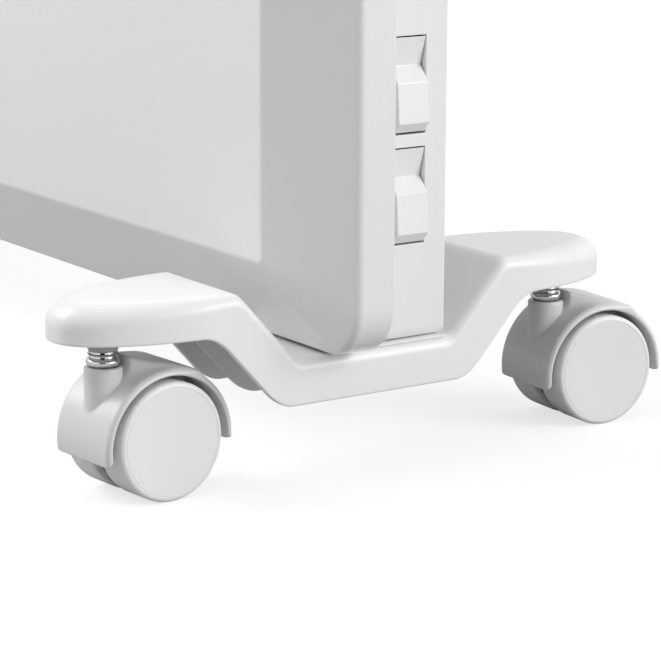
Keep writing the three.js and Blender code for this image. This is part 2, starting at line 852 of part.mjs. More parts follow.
// Wings and fins crossing at the rod, run along X.
function elementBody() {
  const half = bracketX - holderFlangeDepth - 2 * gap;
  const pieces = [barX(rodRadius, -bracketX - rodEnd, bracketX + rodEnd, 0, 0)];
  pieces.push(barX(rodRadius * 2, -half, half, 0, 0));
  for (const turn of [wingAngle, 180 - wingAngle]) {
    const wing = block(-half, half, -wingLength, wingLength, -wingThickness / 2, wingThickness / 2);
    pieces.push(wing.rotate([turn, 0, 0]));
    for (const side of [-1, 1]) {
      for (let i = 1; i <= finCount; i += 1) {
        const y = side * (rodRadius * 2 + i * (wingLength - rodRadius * 2) / (finCount + 0.5));
        const reach = finLength * (0.4 + 0.2 * i) / 2;
        const fin = block(-half, half, y - finThickness / 2, y + finThickness / 2, -reach, reach);
        pieces.push(fin.rotate([turn, 0, 0]));
      }
    }
  }
  return joined(...pieces);
}

// A ceramic bush that carries the rod in its bracket.
function elementHolder(side) {
  const start = bracketX - gap - holderFlangeDepth;
  const end = bracketX + bracketSheet + 5;
  return turnedX([
    [rodRadius + gap, side * start],
    [holderFlange, side * start],
    [holderFlange, side * (bracketX - gap)],
    [holderRadius, side * (bracketX - gap)],
    [holderRadius, side * end],
    [rodRadius + gap, side * end],
    [rodRadius + gap, side * start],
  ], roundSides);
}

// An upright plate with a foot turned along the back panel.
function elementBracket(side) {
  const back = backInner - gap;
  const section = [
    [side * bracketX, back],
    [side * bracketX, back - bracketReach],
    [side * (bracketX + bracketSheet), back - bracketReach],
    [side * (bracketX + bracketSheet), back - bracketSheet],
    [side * (bracketX + bracketFoot), back - bracketSheet],
    [side * (bracketX + bracketFoot), back],
  ];
  const plate = prismZ(section, elementZ - bracketHeight / 2, elementZ + bracketHeight / 2);
  const span = [side * (bracketX - gap), side * (bracketX + bracketSheet + gap)];
  return cut(plate, barX(holderRadius + gap, span[0], span[1], elementY, elementZ));
}

function addElement() {
  addPiece(heater, 'heating_element', elementBody(), aluminium).position.set(0, elementY, elementZ);
  for (const [name, side] of [['left', -1], ['right', 1]]) {
    addPiece(heater, `element_bracket_${name}`, elementBracket(side), sheetSteel);
    addPiece(heater, `element_holder_${name}`, elementHolder(side), ceramic).position.set(0, elementY, elementZ);
  }
}

function wire(points) {
  const path = new THREE.CatmullRomCurve3(points.map((point) => new THREE.Vector3(...point)), false, 'centripetal');
  const round = new THREE.Shape();
  for (let i = 0; i < wireSides; i += 1) {
    const angle = (i / wireSides) * Math.PI * 2;
    const [u, v] = [wireRadius * Math.cos(angle), wireRadius * Math.sin(angle)];
    if (i === 0) round.moveTo(u, v);
    else round.lineTo(u, v);
  }
  const steps = points.length * 3;
  return new THREE.ExtrudeGeometry(round, { steps, extrudePath: path, bevelEnabled: false });
}

function addWiring() {
  const start = bracketX + bracketSheet + gap;
  const cutoutZ = elementZ + bracketHeight / 2 - cutoutRadius;
  const cutout = barX(cutoutRadius, start, start + cutoutDepth, elementY, cutoutZ);
  addPiece(heater, 'thermal_cutout', cutout, brownPlastic);

  const back = backInner - gap;
  const blockBottom = bodyBottom + coverWall + gap;
  const [blockLong, blockDeep, blockTall] = blockSize;
  const block_ = block(blockX, blockX + blockLong, back - blockDeep, back, blockBottom, blockBottom + blockTall);
  addPiece(heater, 'terminal_block', block_, ceramic);

  const [tiltLong, tiltDeep, tiltTall] = tiltSize;
  const tilt = block(tiltEnd - tiltLong, tiltEnd, back - tiltDeep, back, blockBottom, blockBottom + tiltTall);
  addPiece(heater, 'tilt_switch', tilt, darkPlastic);
  addPiece(heater, 'cable_gland', cableGland(), darkPlastic);

  const blockTop = blockBottom + blockTall + gap;
  const blockY = back - blockDeep / 2;
  const thermostatBottom = knobZ - thermostatSize / 2 - gap;
  const thermostatX = innerHalf - gap - thermostatDepth / 2;
  const feedX = blockX + blockLong - wireLead;
  addPiece(heater, 'wire_feed', wire([
    [feedX, blockY, blockTop],
    [feedX, blockY, blockTop + wireLead],
    [feedX, blockY - wireLead, blockTop + wireLead + wireBend],
    [feedX - wireBend, elementY + wireBend, elementZ + wireBend],
    [feedX - wireBend, elementY + wireBend, elementZ + wireRise],
    [thermostatX, knobY, thermostatBottom - wireLead - wireBend],
    [thermostatX, knobY, thermostatBottom - wireLead],
    [thermostatX, knobY, thermostatBottom],
  ]), wireSleeve);

  const cutoutFace = start + cutoutDepth + gap;
  const thermostatFace = innerHalf - 2 * gap - thermostatDepth;
  const wireY = knobY - thermostatSize / 4;
  addPiece(heater, 'wire_cutout', wire([
    [thermostatFace, wireY, knobZ],
    [thermostatFace - wireLead, wireY, knobZ],
    [thermostatFace - wireBend, wireY, knobZ - wireLead],
    [cutoutFace + wireLead + wireBend, elementY, cutoutZ + 2 * wireBend],
    [cutoutFace + wireBend, elementY, cutoutZ + wireRadius],
    [cutoutFace + wireLead, elementY, cutoutZ],
    [cutoutFace, elementY, cutoutZ],
  ]), wireSleeve);

  const rodFace = bracketX + rodEnd + gap;
  const lowZ = blockBottom + blockTall / 2;
  addPiece(heater, 'wire_return', wire([
    [-rodFace, elementY, elementZ],
    [-rodFace - wireLead, elementY, elementZ],
    [-rodFace - wireBend, elementY, elementZ - wireRadius],
    [-rodFace - wireBend - wireRadius, elementY + wireBend, (elementZ + lowZ) / 2],
    [-rodFace + wireBend, blockY, lowZ],
    [-rodFace + wireRun, blockY, lowZ],
    [blockX - wireRun, blockY, lowZ],
    [blockX - wireBend, blockY, lowZ],
    [blockX - gap, blockY, lowZ],
  ]), wireSleeve);
}

addPiece(heater, 'front_panel', frontPanel(), paint);
addPiece(heater, 'right_side_cover', rightCover(), plastic);
addPiece(heater, 'left_side_cover', sideCover(-1), plastic);
addPiece(heater, 'back_panel', backPanel(), sheetSteel);
addPiece(heater, 'top_grille', slottedStrip(bodyTop - coverWall), plastic);
addPiece(heater, 'bottom_grille', bottomGrille(), plastic);
addElement();
addWiring();
addSwitches();
addThermostat();
addCoverScrews();
addFoot('right', 1);
addFoot('left', -1);

// The origin is on the floor, in the middle of the whole object.
heater.updateMatrixWorld(true);
const extent = new THREE.Box3().setFromObject(heater, true);
heater.position.set(0, -(extent.min.y + extent.max.y) / 2, 0);

const group = new THREE.Group();
group.add(heater);

export default group;
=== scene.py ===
import json
import math

import bmesh
import bpy
from mathutils import Matrix, Vector

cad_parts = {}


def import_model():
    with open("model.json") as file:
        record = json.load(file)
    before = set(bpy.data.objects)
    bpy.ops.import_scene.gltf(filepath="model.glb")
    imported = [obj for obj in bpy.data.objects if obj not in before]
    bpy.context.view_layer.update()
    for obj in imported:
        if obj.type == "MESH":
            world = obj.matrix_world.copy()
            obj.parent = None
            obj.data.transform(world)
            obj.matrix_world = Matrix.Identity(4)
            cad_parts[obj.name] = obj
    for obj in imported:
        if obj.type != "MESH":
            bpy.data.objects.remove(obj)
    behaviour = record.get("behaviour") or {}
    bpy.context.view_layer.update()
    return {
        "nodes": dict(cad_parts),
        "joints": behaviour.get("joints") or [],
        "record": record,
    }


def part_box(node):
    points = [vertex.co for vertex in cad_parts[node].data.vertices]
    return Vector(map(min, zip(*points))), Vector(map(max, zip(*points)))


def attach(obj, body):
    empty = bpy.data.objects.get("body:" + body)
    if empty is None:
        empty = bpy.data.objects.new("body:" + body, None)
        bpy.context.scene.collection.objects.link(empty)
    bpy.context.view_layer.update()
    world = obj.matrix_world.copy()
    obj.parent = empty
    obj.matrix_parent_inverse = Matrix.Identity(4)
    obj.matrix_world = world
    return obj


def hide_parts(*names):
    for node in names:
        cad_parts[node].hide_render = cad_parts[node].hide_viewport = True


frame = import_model()

mm = 0.001
scene = bpy.context.scene
bodies = frame["record"]["behaviour"]["bodies"]
bodyOfNode = {node: body for body, nodes in bodies.items() for node in nodes}
slotOfNode = {part["node"]: part["material_slot"] for part in frame["record"]["subparts"]}
joints = {joint["name"]: joint for joint in frame["joints"]}
corners = ["front_right", "rear_right", "front_left", "rear_left"]
print("frame loaded:", len(frame["nodes"]), "nodes")


# one small language for shader and geometry trees
class Wire:
    # a socket in a tree; arithmetic on it adds Math nodes
    def __init__(self, graph, socket):
        self.graph = graph
        self.socket = socket

    def math(self, operation, *others):
        inputs = dict(enumerate([self, *others]))
        return self.graph.add("ShaderNodeMath", {"operation": operation}, inputs)

    def __add__(self, other):
        return self.math("ADD", other)

    __radd__ = __add__

    def __sub__(self, other):
        return self.math("SUBTRACT", other)

    def __rsub__(self, other):
        return self.graph.add("ShaderNodeMath", {"operation": "SUBTRACT"}, {0: other, 1: self})

    def __mul__(self, other):
        return self.math("MULTIPLY", other)

    __rmul__ = __mul__

    def __truediv__(self, other):
        return self.math("DIVIDE", other)

    def __neg__(self):
        return self.math("MULTIPLY", -1.0)

    def __abs__(self):
        return self.math("ABSOLUTE")


class Graph:
    def __init__(self, tree):
        self.tree = tree

    def add(self, kind, settings=None, inputs=None, output=0):
        node = self.tree.nodes.new(kind)
        for key, value in (settings or {}).items():
            if key == "stops":
                self.setStops(node.color_ramp, value)
            else:
                setattr(node, key, value)
        for key, value in (inputs or {}).items():
            self.feed(node.inputs[key], value)
        return Wire(self, node.outputs[output]) if len(node.outputs) else node

    def feed(self, socket, value):
        if isinstance(value, Wire):
            self.tree.links.new(value.socket, socket)
        else:
            socket.default_value = value

    def setStops(self, ramp, stops):
        while len(ramp.elements) < len(stops):
            ramp.elements.new(0.5)
        for element, (place, level) in zip(ramp.elements, stops):
            element.position = place
            element.color = (level, level, level, 1.0)


# finishes, one for each slot of the record
def mixColour(graph, factor, first, second):
    settings = {"data_type": "RGBA"}
    return graph.add("ShaderNodeMix", settings, {0: factor, 6: first, 7: second}, output=2)


def colour(red, green=None, blue=None):
    return (red, red if green is None else green, red if blue is None else blue, 1.0)


def noise(graph, place, scale, detail=2.0, rough=0.5):
    inputs = {"Vector": place, "Scale": scale, "Detail": detail, "Roughness": rough}
    return graph.add("ShaderNodeTexNoise", {}, inputs)


def emptyGraph(owner):
    owner.use_nodes = True
    owner.node_tree.nodes.clear()
    return Graph(owner.node_tree)


def bumpOf(graph, height, strength, distance=0.0002):
    inputs = {"Strength": strength, "Distance": distance, "Height": height}
    return graph.add("ShaderNodeBump", {}, inputs)


def newFinish(name, fixed, varying):
    material = bpy.data.materials.new(name)
    graph = emptyGraph(material)
    place = graph.add("ShaderNodeTexCoord", output="Object")
    inputs = dict(fixed)
    inputs.update(varying(graph, place))
    shader = graph.add("ShaderNodeBsdfPrincipled", {}, inputs)
    graph.add("ShaderNodeOutputMaterial", {}, {"Surface": shader})
    return material


paintValues = {
    "tone": colour(0.80, 0.805, 0.81),
    "shadeTone": colour(0.775, 0.78, 0.787),
    "cloudScale": 9.0,
    "dustScale": 60.0,
    "peelScale": 420.0,
    "peelStrength": 0.25,
    "rough": 0.27,
    "coat": 0.8,
    "coatRough": 0.05,
}


def paintFinish():
    # gloss paint over a faint orange peel
    v = paintValues

    def varying(graph, place):
        cloud = noise(graph, place, v["cloudScale"], 3.0)
        peel = noise(graph, place, v["peelScale"], 2.0)
        dust = noise(graph, place, v["dustScale"], 4.0)
        return {
            "Base Color": mixColour(graph, cloud, v["tone"], v["shadeTone"]),
            "Roughness": dust * 0.06 + v["rough"],
            "Normal": bumpOf(graph, peel, v["peelStrength"]),
        }
    fixed = {"Specular IOR Level": 0.5, "Coat Weight": v["coat"], "Coat Roughness": v["coatRough"]}
    return newFinish("glossPaint", fixed, varying)


def mouldedFinish(name, tone, rough, grainScale, grain):
    # plastic from a lightly textured mould, with a faint uneven tone
    darker = tuple(level * 0.97 for level in tone[:3]) + (1.0,)

    def varying(graph, place):
        cloud = noise(graph, place, 35.0, 3.0)
        texture = noise(graph, place, grainScale, 2.0, 0.6)
        wave = noise(graph, place, 90.0, 1.0)
        return {
            "Base Color": mixColour(graph, cloud, tone, darker),
            "Roughness": texture * 0.1 + (rough - 0.05),
            "Normal": bumpOf(graph, texture * 0.8 + wave * 0.5, grain),
        }
    return newFinish(name, {"Specular IOR Level": 0.5}, varying)


def metalFinish(name, tone, rough, stretch, scale=700.0, grain=0.06):
    # drawn or brushed metal: noise stretched along one axis
    darker = tuple(level * 0.86 for level in tone[:3]) + (1.0,)

    def varying(graph, place):
        drawn = graph.add("ShaderNodeMapping", {}, {"Vector": place, "Scale": stretch})
        lines = noise(graph, drawn, scale, 3.0, 0.6)
        stain = noise(graph, place, 60.0, 3.0)
        return {
            "Base Color": mixColour(graph, stain, tone, darker),
            "Roughness": lines * 0.16 + (rough - 0.08),
            "Normal": bumpOf(graph, lines, grain),
        }
    return newFinish(name, {"Metallic": 1.0}, varying)


def speckledFinish(name, tone, dots, rough):
    # unglazed ceramic with small darker grains
    def varying(graph, place):
        cells = graph.add("ShaderNodeTexVoronoi", {}, {"Vector": place, "Scale": 900.0})
        mask = graph.add("ShaderNodeValToRGB", {"stops": [(0.1, 1.0), (0.2, 0.0)]}, {0: cells})
        pores = noise(graph, place, 1500.0, 3.0)
        return {
            "Base Color": mixColour(graph, mask, tone, dots),
            "Roughness": pores * 0.2 + (rough - 0.1),
            "Normal": bumpOf(graph, pores, 0.2),
        }
    return newFinish(name, {"Specular IOR Level": 0.4}, varying)


def sleeveFinish():
    # woven glass sleeve: two crossed bands
    def varying(graph, place):
        turned = graph.add("ShaderNodeMapping", {}, {"Vector": place, "Rotation": (0.6, 0.6, 0.8)})
        inputs = {"Vector": turned, "Scale": 380.0, "Distortion": 0.4}
        warp = graph.add("ShaderNodeTexWave", {"bands_direction": "X"}, inputs, output="Fac")
        weft = graph.add("ShaderNodeTexWave", {"bands_direction": "Y"}, inputs, output="Fac")
        weave = warp * weft
        return {
            "Base Color": mixColour(graph, weave, colour(0.5, 0.46, 0.38), colour(0.72, 0.69, 0.6)),
            "Roughness": 0.8 - weave * 0.2,
            "Normal": bumpOf(graph, weave, 0.5, 0.0003),
        }
    return newFinish("wovenSleeve", {}, varying)


finishes = {
    "panel_paint": paintFinish(),
    "housing": mouldedFinish("housingPlastic", colour(0.80, 0.805, 0.808), 0.34, 2400.0, 0.06),
    "rocker": mouldedFinish("rockerPlastic", colour(0.82, 0.825, 0.825), 0.3, 2400.0, 0.04),
    "knob": mouldedFinish("knobPlastic", colour(0.81, 0.815, 0.815), 0.3, 2400.0, 0.05),
    "foot": mouldedFinish("footPlastic", colour(0.84, 0.842, 0.842), 0.36, 2000.0, 0.06),
    "hood": mouldedFinish("hoodPlastic", colour(0.70, 0.715, 0.71), 0.33, 2000.0, 0.05),
    "wheel": mouldedFinish("wheelPlastic", colour(0.83, 0.838, 0.835), 0.36, 2000.0, 0.06),
    "socket": mouldedFinish("socketPlastic", colour(0.42, 0.43, 0.43), 0.45, 2000.0, 0.1),
    "dark_plastic": mouldedFinish("darkPlastic", colour(0.035, 0.035, 0.037), 0.5, 1800.0, 0.2),
    "brown_plastic": mouldedFinish("brownPlastic", colour(0.12, 0.06, 0.03), 0.45, 1800.0, 0.15),
    "back_sheet": mouldedFinish("backPaint", colour(0.77, 0.775, 0.78), 0.42, 1200.0, 0.12),
    "chrome": metalFinish("plating", colour(0.74, 0.74, 0.75), 0.1, (1.0, 1.0, 6.0), 300.0, 0.01),
    "steel": metalFinish("zincSteel", colour(0.55, 0.55, 0.53), 0.35, (1.0, 1.0, 4.0)),
    "bracket": metalFinish("bracketSteel", colour(0.58, 0.58, 0.57), 0.4, (0.2, 1.0, 1.0)),
    "element": metalFinish("ribbedAluminium", colour(0.6, 0.61, 0.62), 0.42, (0.05, 1.0, 1.0)),
    "ceramic": speckledFinish("ceramic", colour(0.72, 0.68, 0.58), colour(0.5, 0.45, 0.36), 0.65),
    "wire": sleeveFinish(),
}
print("finishes made:", len(finishes))


# from meshes to pieces
def linked(name, mesh):
    piece = bpy.data.objects.new(name, mesh)
    scene.collection.objects.link(piece)
    return piece


def meshOf(name, bm, smoothAngle=35.0, weld=1e-6):
    bmesh.ops.remove_doubles(bm, verts=bm.verts, dist=weld)
    bmesh.ops.recalc_face_normals(bm, faces=bm.faces)
    mesh = bpy.data.meshes.new(name)
    bm.to_mesh(mesh)
    bm.free()
    shade(mesh, smoothAngle)
    return mesh


def shade(mesh, smoothAngle):
    mesh.polygons.foreach_set("use_smooth", [True] * len(mesh.polygons))
    mesh.set_sharp_from_angle(angle=math.radians(smoothAngle))


def added(piece, node, slot):
    # a piece of the scene's own, carried by the node's body
    piece.data.materials.clear()
    piece.data.materials.append(finishes[slot])
    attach(piece, bodyOfNode[node])
    return piece


def settle(piece, node):
    # a piece that takes the node's place, with its body, slot and finish
    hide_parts(node)
    return added(piece, node, slotOfNode[node])


def baked(piece):
    # the evaluated mesh, with the piece's modifiers gone
    graph = bpy.context.evaluated_depsgraph_get()
    graph.update()
    mesh = bpy.data.meshes.new_from_object(piece.evaluated_get(graph))
    old = piece.data
    piece.modifiers.clear()
    piece.data = mesh
    bpy.data.meshes.remove(old)
    return piece


def addBevel(piece, width, segments, angle=30.0):
    bevel = piece.modifiers.new("edges", "BEVEL")
    bevel.width = width
    bevel.segments = segments
    bevel.limit_method = "ANGLE"
    bevel.angle_limit = math.radians(angle)
    return bevel


def evenShading(piece):
    # large flat faces keep their own normal, and the narrow bevels take the turn
    weights = piece.modifiers.new("weights", "WEIGHTED_NORMAL")
    weights.keep_sharp = True
    weights.weight = 100
    return baked(piece)


def dressed(node, name, width, segments=2, angle=30.0, smoothAngle=40.0, wide=None):
    # the CAD solid with merged faces and softened edges; wide is a width and a test for its edges
    bm = bmesh.new()
    bm.from_mesh(frame["nodes"][node].data)
    bmesh.ops.remove_doubles(bm, verts=bm.verts, dist=2e-6)
    bmesh.ops.dissolve_limit(bm, angle_limit=math.radians(0.5), verts=bm.verts, edges=bm.edges)
    if wide:
        weights = bm.edges.layers.float.new("bevel_weight_edge")
        for edge in bm.edges:
            if len(edge.link_faces) == 2 and edge.calc_face_angle(0.0) > math.radians(angle):
                edge[weights] = 1.0 if wide[1](edge) else width / wide[0]
    piece = linked(name, meshOf(name, bm, smoothAngle))
    bevel = addBevel(piece, wide[0] if wide else width, segments, angle)
    if wide:
        bevel.limit_method = "WEIGHT"
    baked(piece)
    shade(piece.data, smoothAngle)
    evenShading(piece)
    return settle(piece, node)


def latheRings(bm, profile, steps, matrix=None):
    # profile of (radius, height) pairs round the Z axis; radius 0 closes a pole
    rings = []
    for radius, height in profile:
        if radius < 1e-9:
            rings.append([bm.verts.new((0.0, 0.0, height))])
            continue
        turn = [2.0 * math.pi * i / steps for i in range(steps)]
        rings.append([bm.verts.new((radius * math.cos(a), radius * math.sin(a), height)) for a in turn])
    for low, high in zip(rings, rings[1:]):
        for i in range(steps):
            j = (i + 1) % steps
            if len(low) == 1:
                bm.faces.new((low[0], high[j], high[i]))
            elif len(high) == 1:
                bm.faces.new((low[i], low[j], high[0]))
            else:
                bm.faces.new((low[i], low[j], high[j], high[i]))
    if matrix is not None:
        fresh = [vert for ring in rings for vert in ring]
        bmesh.ops.transform(bm, matrix=matrix, verts=fresh)


def softened(points, radii, steps=5, support=0.0):
    # the polyline with its inner corners rounded, each round held by a support point on both sides
    result = [Vector(points[0])]
    for before, here, after, radius in zip(points, points[1:], points[2:], radii):
        before, here, after = Vector(before), Vector(here), Vector(after)
        back = before - here
        ahead = after - here
        if radius <= 0.0:
            result.append(here)
            continue
        half = back.angle(ahead) / 2.0
        trim = radius / math.tan(half)
        start = here + back.normalized() * trim
        end = here + ahead.normalized() * trim
        if support:
            result.append(start + back.normalized() * support)
        centre = here + (back.normalized() + ahead.normalized()).normalized() * radius / math.sin(half)
        first = start - centre
        last = end - centre
        sweep = first.angle(last)
        for i in range(steps + 1):
            t = i / steps
            a = math.sin((1.0 - t) * sweep) / math.sin(sweep)
            b = math.sin(t * sweep) / math.sin(sweep)
            result.append(centre + first * a + last * b)
        if support:
            result.append(end + ahead.normalized() * support)
    result.append(Vector(points[-1]))
    return result


def bridged(bm, rings, close=True):
    count = len(rings[0])
    for low, high in zip(rings, rings[1:]):
        for i in range(count if close else count - 1):
            j = (i + 1) % count
            bm.faces.new((low[i], low[j], high[j], high[i]))


def uprightAt(low, high):
    # the standing axis through the middle of a box
    return Matrix.Translation(((low.x + high.x) / 2.0, (low.y + high.y) / 2.0, 0.0))


def addBlock(bm, low, high):
    made = bmesh.ops.create_cube(bm, size=1.0)
    size = Vector(high) - Vector(low)
    middle = (Vector(high) + Vector(low)) / 2.0
    place = Matrix.Translation(middle) @ Matrix.Diagonal((size.x, size.y, size.z, 1.0))
    bmesh.ops.transform(bm, matrix=place, verts=made["verts"])


# front panel, in millimetres
panelValues = {
    "rim": 13.8,
    "bevelDepth": 18.5,
    "bevelInset": 30.4,
    "outlineRadius": 18.0,
    "faceRadius": 3.0,
    "rearEdge": 0.5,
    "rimEdge": 3.2,
    "faceEdge": 3.2,
    "sheet": 1.2,
    "returnLip": 6.0,
    "faceReach": 40.0,
    "openSide": 36.0,
    "openLow": 12.0,
    "openHigh": 22.0,
    "openRadius": 1.0,
    "cornerSteps": 22,
}


def panelLoop(bm, box, y, insets, radius):
    # a rounded rectangle in the XZ plane; insets are left/right, low and high
    side, low, high = (inset * mm for inset in insets)
    radius *= mm
    left, right = box[0].x + side + radius, box[1].x - side - radius
    bottom, top = box[0].z + low + radius, box[1].z - high - radius
    steps = panelValues["cornerSteps"]
    centres = [(right, top), (left, top), (left, bottom), (right, bottom)]
    loop = []
    for quarter, (x, z) in enumerate(centres):
        for step in range(steps + 1):
            angle = (quarter + step / steps) * math.pi / 2.0
            loop.append(bm.verts.new((x + radius * math.cos(angle), y, z + radius * math.sin(angle))))
    return loop


def frontPanel():
    # one skin from the rear opening over the rim and the bevel to the face, then given its sheet
    v = panelValues
    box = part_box("front_panel")
    rear = box[1].y
    depth = v["rim"] + v["bevelDepth"]
    profile = [  # inset from the outline, depth from the rear edge
        (v["returnLip"], 0.0), (0.0, 0.0), (0.0, v["rim"]),
        (v["bevelInset"], depth), (v["bevelInset"] + v["faceReach"], depth),
    ]
    path = softened(profile, [v["rearEdge"], v["rimEdge"], v["faceEdge"]], steps=8, support=0.5)
    bm = bmesh.new()
    opening = (v["openSide"], v["openLow"], v["openHigh"])
    rings = [panelLoop(bm, box, rear, opening, v["openRadius"])]
    for inset, back in path:
        share = min(1.0, inset / v["bevelInset"])
        if back < v["rim"] * 0.5:
            radius = v["outlineRadius"] - inset
        elif inset > v["bevelInset"] + 5.0:
            radius = v["faceRadius"]
        else:
            radius = v["outlineRadius"] + (v["faceRadius"] - v["outlineRadius"]) * share
        rings.append(panelLoop(bm, box, rear - back * mm, (inset,) * 3, radius))
    bridged(bm, rings)
    bm.faces.new(rings[-1])
    piece = linked("frontPanel", meshOf("frontPanel", bm, 60.0, 1e-7))
    wall = piece.modifiers.new("sheet", "SOLIDIFY")
    wall.thickness = v["sheet"] * mm
    wall.offset = -1.0
    wall.use_even_offset = True
    baked(piece)
    shade(piece.data, 50.0)
    return settle(piece, "front_panel")


frontPanel()
print("front panel made")


# feet, in millimetres and degrees
footValues = {
    "taper": 44.0,
    "wall": 2.5,
    "troughHalf": 31.6,
    "troughDepth": 24.6,
    "ramp": 48.0,
    "baseThickness": 15.6,
    "armThickness": 13.3,
    "crease": 2.4,
    "underCrease": 6.0,
    "topEdge": 4.0,
    "tipWiden": 5.5,
    "tipDeepen": 4.3,
    "tipLength": 55.0,
    "rimEdge": 0.7,
    "rib": 2.0,
    "play": 0.3,
    "socketWall": 2.5,
    "socketLid": 1.2,
    "screwSeat": 2.9,
    "screwPost": 5.0,
    "screwBore": 2.1,
}
padValues = {"height": 0.55, "inset": 0.5, "groove": 0.2, "core": 1.6, "coreDrop": 0.1, "edge": 0.12}


def smoothMax(a, b, k):
    h = max(k - abs(a - b), 0.0) / k
    return max(a, b) + h * h * k * 0.25


def smoothMin(a, b, k):
    return -smoothMax(-a, -b, k)


def footShape(node):
    # the foot's middle in metres, and its heights and widths in millimetres
    v = footValues
    low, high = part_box(node)
    middle = (low + high) / 2.0
    slope = math.tan(math.radians(v["ramp"]))
    halfSlope = math.tan(math.radians(v["ramp"] / 2.0))
    half = (high.x - low.x) / 2.0 / mm
    reach = (high.y - low.y) / 2.0 / mm
    armTop = high.z / mm
    baseTop = armTop - v["troughDepth"]
    baseLow = baseTop - v["baseThickness"]
    armLow = armTop - v["armThickness"]
    lowCorner = v["troughHalf"] + v["baseThickness"] * halfSlope

    def top(y):
        rise = smoothMax(0.0, (abs(y) - v["troughHalf"]) * slope, v["crease"])
        return baseTop + smoothMin(rise, v["troughDepth"], v["crease"])

    def under(y):
        rise = smoothMax(0.0, (abs(y) - lowCorner) * slope, v["underCrease"])
        return baseLow + smoothMin(rise, armLow - baseLow, v["underCrease"])

    def width(y):
        along = (abs(y) - (reach - v["taper"])) / v["taper"]
        along = min(1.0, max(0.0, along))
        return half * (1.0 - along ** 1.6) ** (1.0 / 2.4)

    return middle, reach, top, under, width


def footOutline(reach, width):
    # right side from the rear tip to the front tip, evenly spaced but finer at the tips
    taper = footValues["taper"]
    ys = []
    straight = reach - taper
    for i in range(40):
        ys.append(straight + taper * math.cos(math.pi / 2.0 * i / 40.0))
    count = int(straight / 0.8)
    ys += [straight * (1.0 - i / count) for i in range(count)]
    ys += [0.0] + [-y for y in reversed(ys)]
    right = [Vector((width(y), y)) for y in ys]
    left = [Vector((-p.x, p.y)) for p in reversed(right[1:-1])]
    return right + left


def insetLoop(loop, inset):
    count = len(loop)
    result = []
    for i, here in enumerate(loop):
        along = loop[(i + 1) % count] - loop[i - 1]
        normal = Vector((along.y, -along.x)).normalized()
        result.append(here + normal * inset(here.y))
    return result


def footLid(bm, loop, up):
    # strips across from side to side; the tips end in triangles
    count = len(loop)
    half = count // 2
    for j in range(half):
        a, b = loop[j], loop[j + 1]
        c, d = loop[(count - j - 1) % count], loop[(count - j) % count]
        ring = []
        for vert in (a, b, c, d):
            if vert not in ring:
                ring.append(vert)
        if len(ring) > 2:
            bm.faces.new(ring if up else ring[::-1])


def footSkin(bm, shape):
    # the moulding's skin, from the lid over the rim to the inside
    v = footValues
    middle, reach, top, under, width = shape
    outline = footOutline(reach, width)

    def ring(inset, height):
        flat = insetLoop(outline, inset if callable(inset) else lambda y: inset)
        return [
            bm.verts.new((p.x * mm + middle.x, p.y * mm + middle.y, height(p.y) * mm)) for p in flat
        ]

    def share(y):
        # 0 at the arm's root, 1 at its tip
        return min(1.0, max(0.0, (abs(y) - reach) / v["tipLength"] + 1.0)) ** 1.2

    def span(y):
        return v["topEdge"] + v["tipWiden"] * share(y)

    def depth(y):
        return v["topEdge"] + v["tipDeepen"] * share(y)

    # an inset and a height for each loop
    levels = [(lambda y: span(y) + 0.8, top)]
    for i in range(13):
        angle = math.pi / 2.0 * i / 12.0
        levels.append((
            lambda y, narrow=1.0 - math.sin(angle): span(y) * narrow,
            lambda y, fall=1.0 - math.cos(angle): top(y) - depth(y) * fall,
        ))
    levels.append((0.0, lambda y: top(y) - depth(y) - 0.5))
    edge = v["rimEdge"]
    levels.append((0.0, lambda y: under(y) + edge + 0.3))
    for i in range(4):
        angle = math.pi / 2.0 * i / 3.0
        rise = edge * (1.0 - math.sin(angle))
        inset = edge * (1.0 - math.cos(angle))
        levels.append((inset, lambda y, rise=rise: under(y) + rise))
    wall = v["wall"]
    levels += [
        (wall - 0.3, under),
        (wall, lambda y: under(y) + 0.3),
        (wall, lambda y: top(y) - wall - 1.0 - share(y) * 2.0),
        (wall + 1.0, lambda y: top(y) - wall - share(y) * 0.7),
    ]
    rings = [ring(inset, height) for inset, height in levels]
    bridged(bm, rings)
    footLid(bm, rings[0], True)
    footLid(bm, rings[-1], False)


def footRib(bm, shape):
    # a centre rib, hung from the underside of the top skin
    v = footValues
    middle, reach, top, under, width = shape
    strips = []
    for y in range(-int(reach) + 6, int(reach) - 5, 2):
        z0, z1 = under(y) + 0.6, top(y) - v["wall"] + 0.2
        x0, x1 = -v["rib"] / 2.0, v["rib"] / 2.0
        section = [(x0, z0), (x1, z0), (x1, z1), (x0, z1)]
        strips.append([
            bm.verts.new((x * mm + middle.x, y * mm + middle.y, z * mm)) for x, z in section
        ])
    bridged(bm, strips)
    bm.faces.new(strips[0])
    bm.faces.new(strips[-1][::-1])


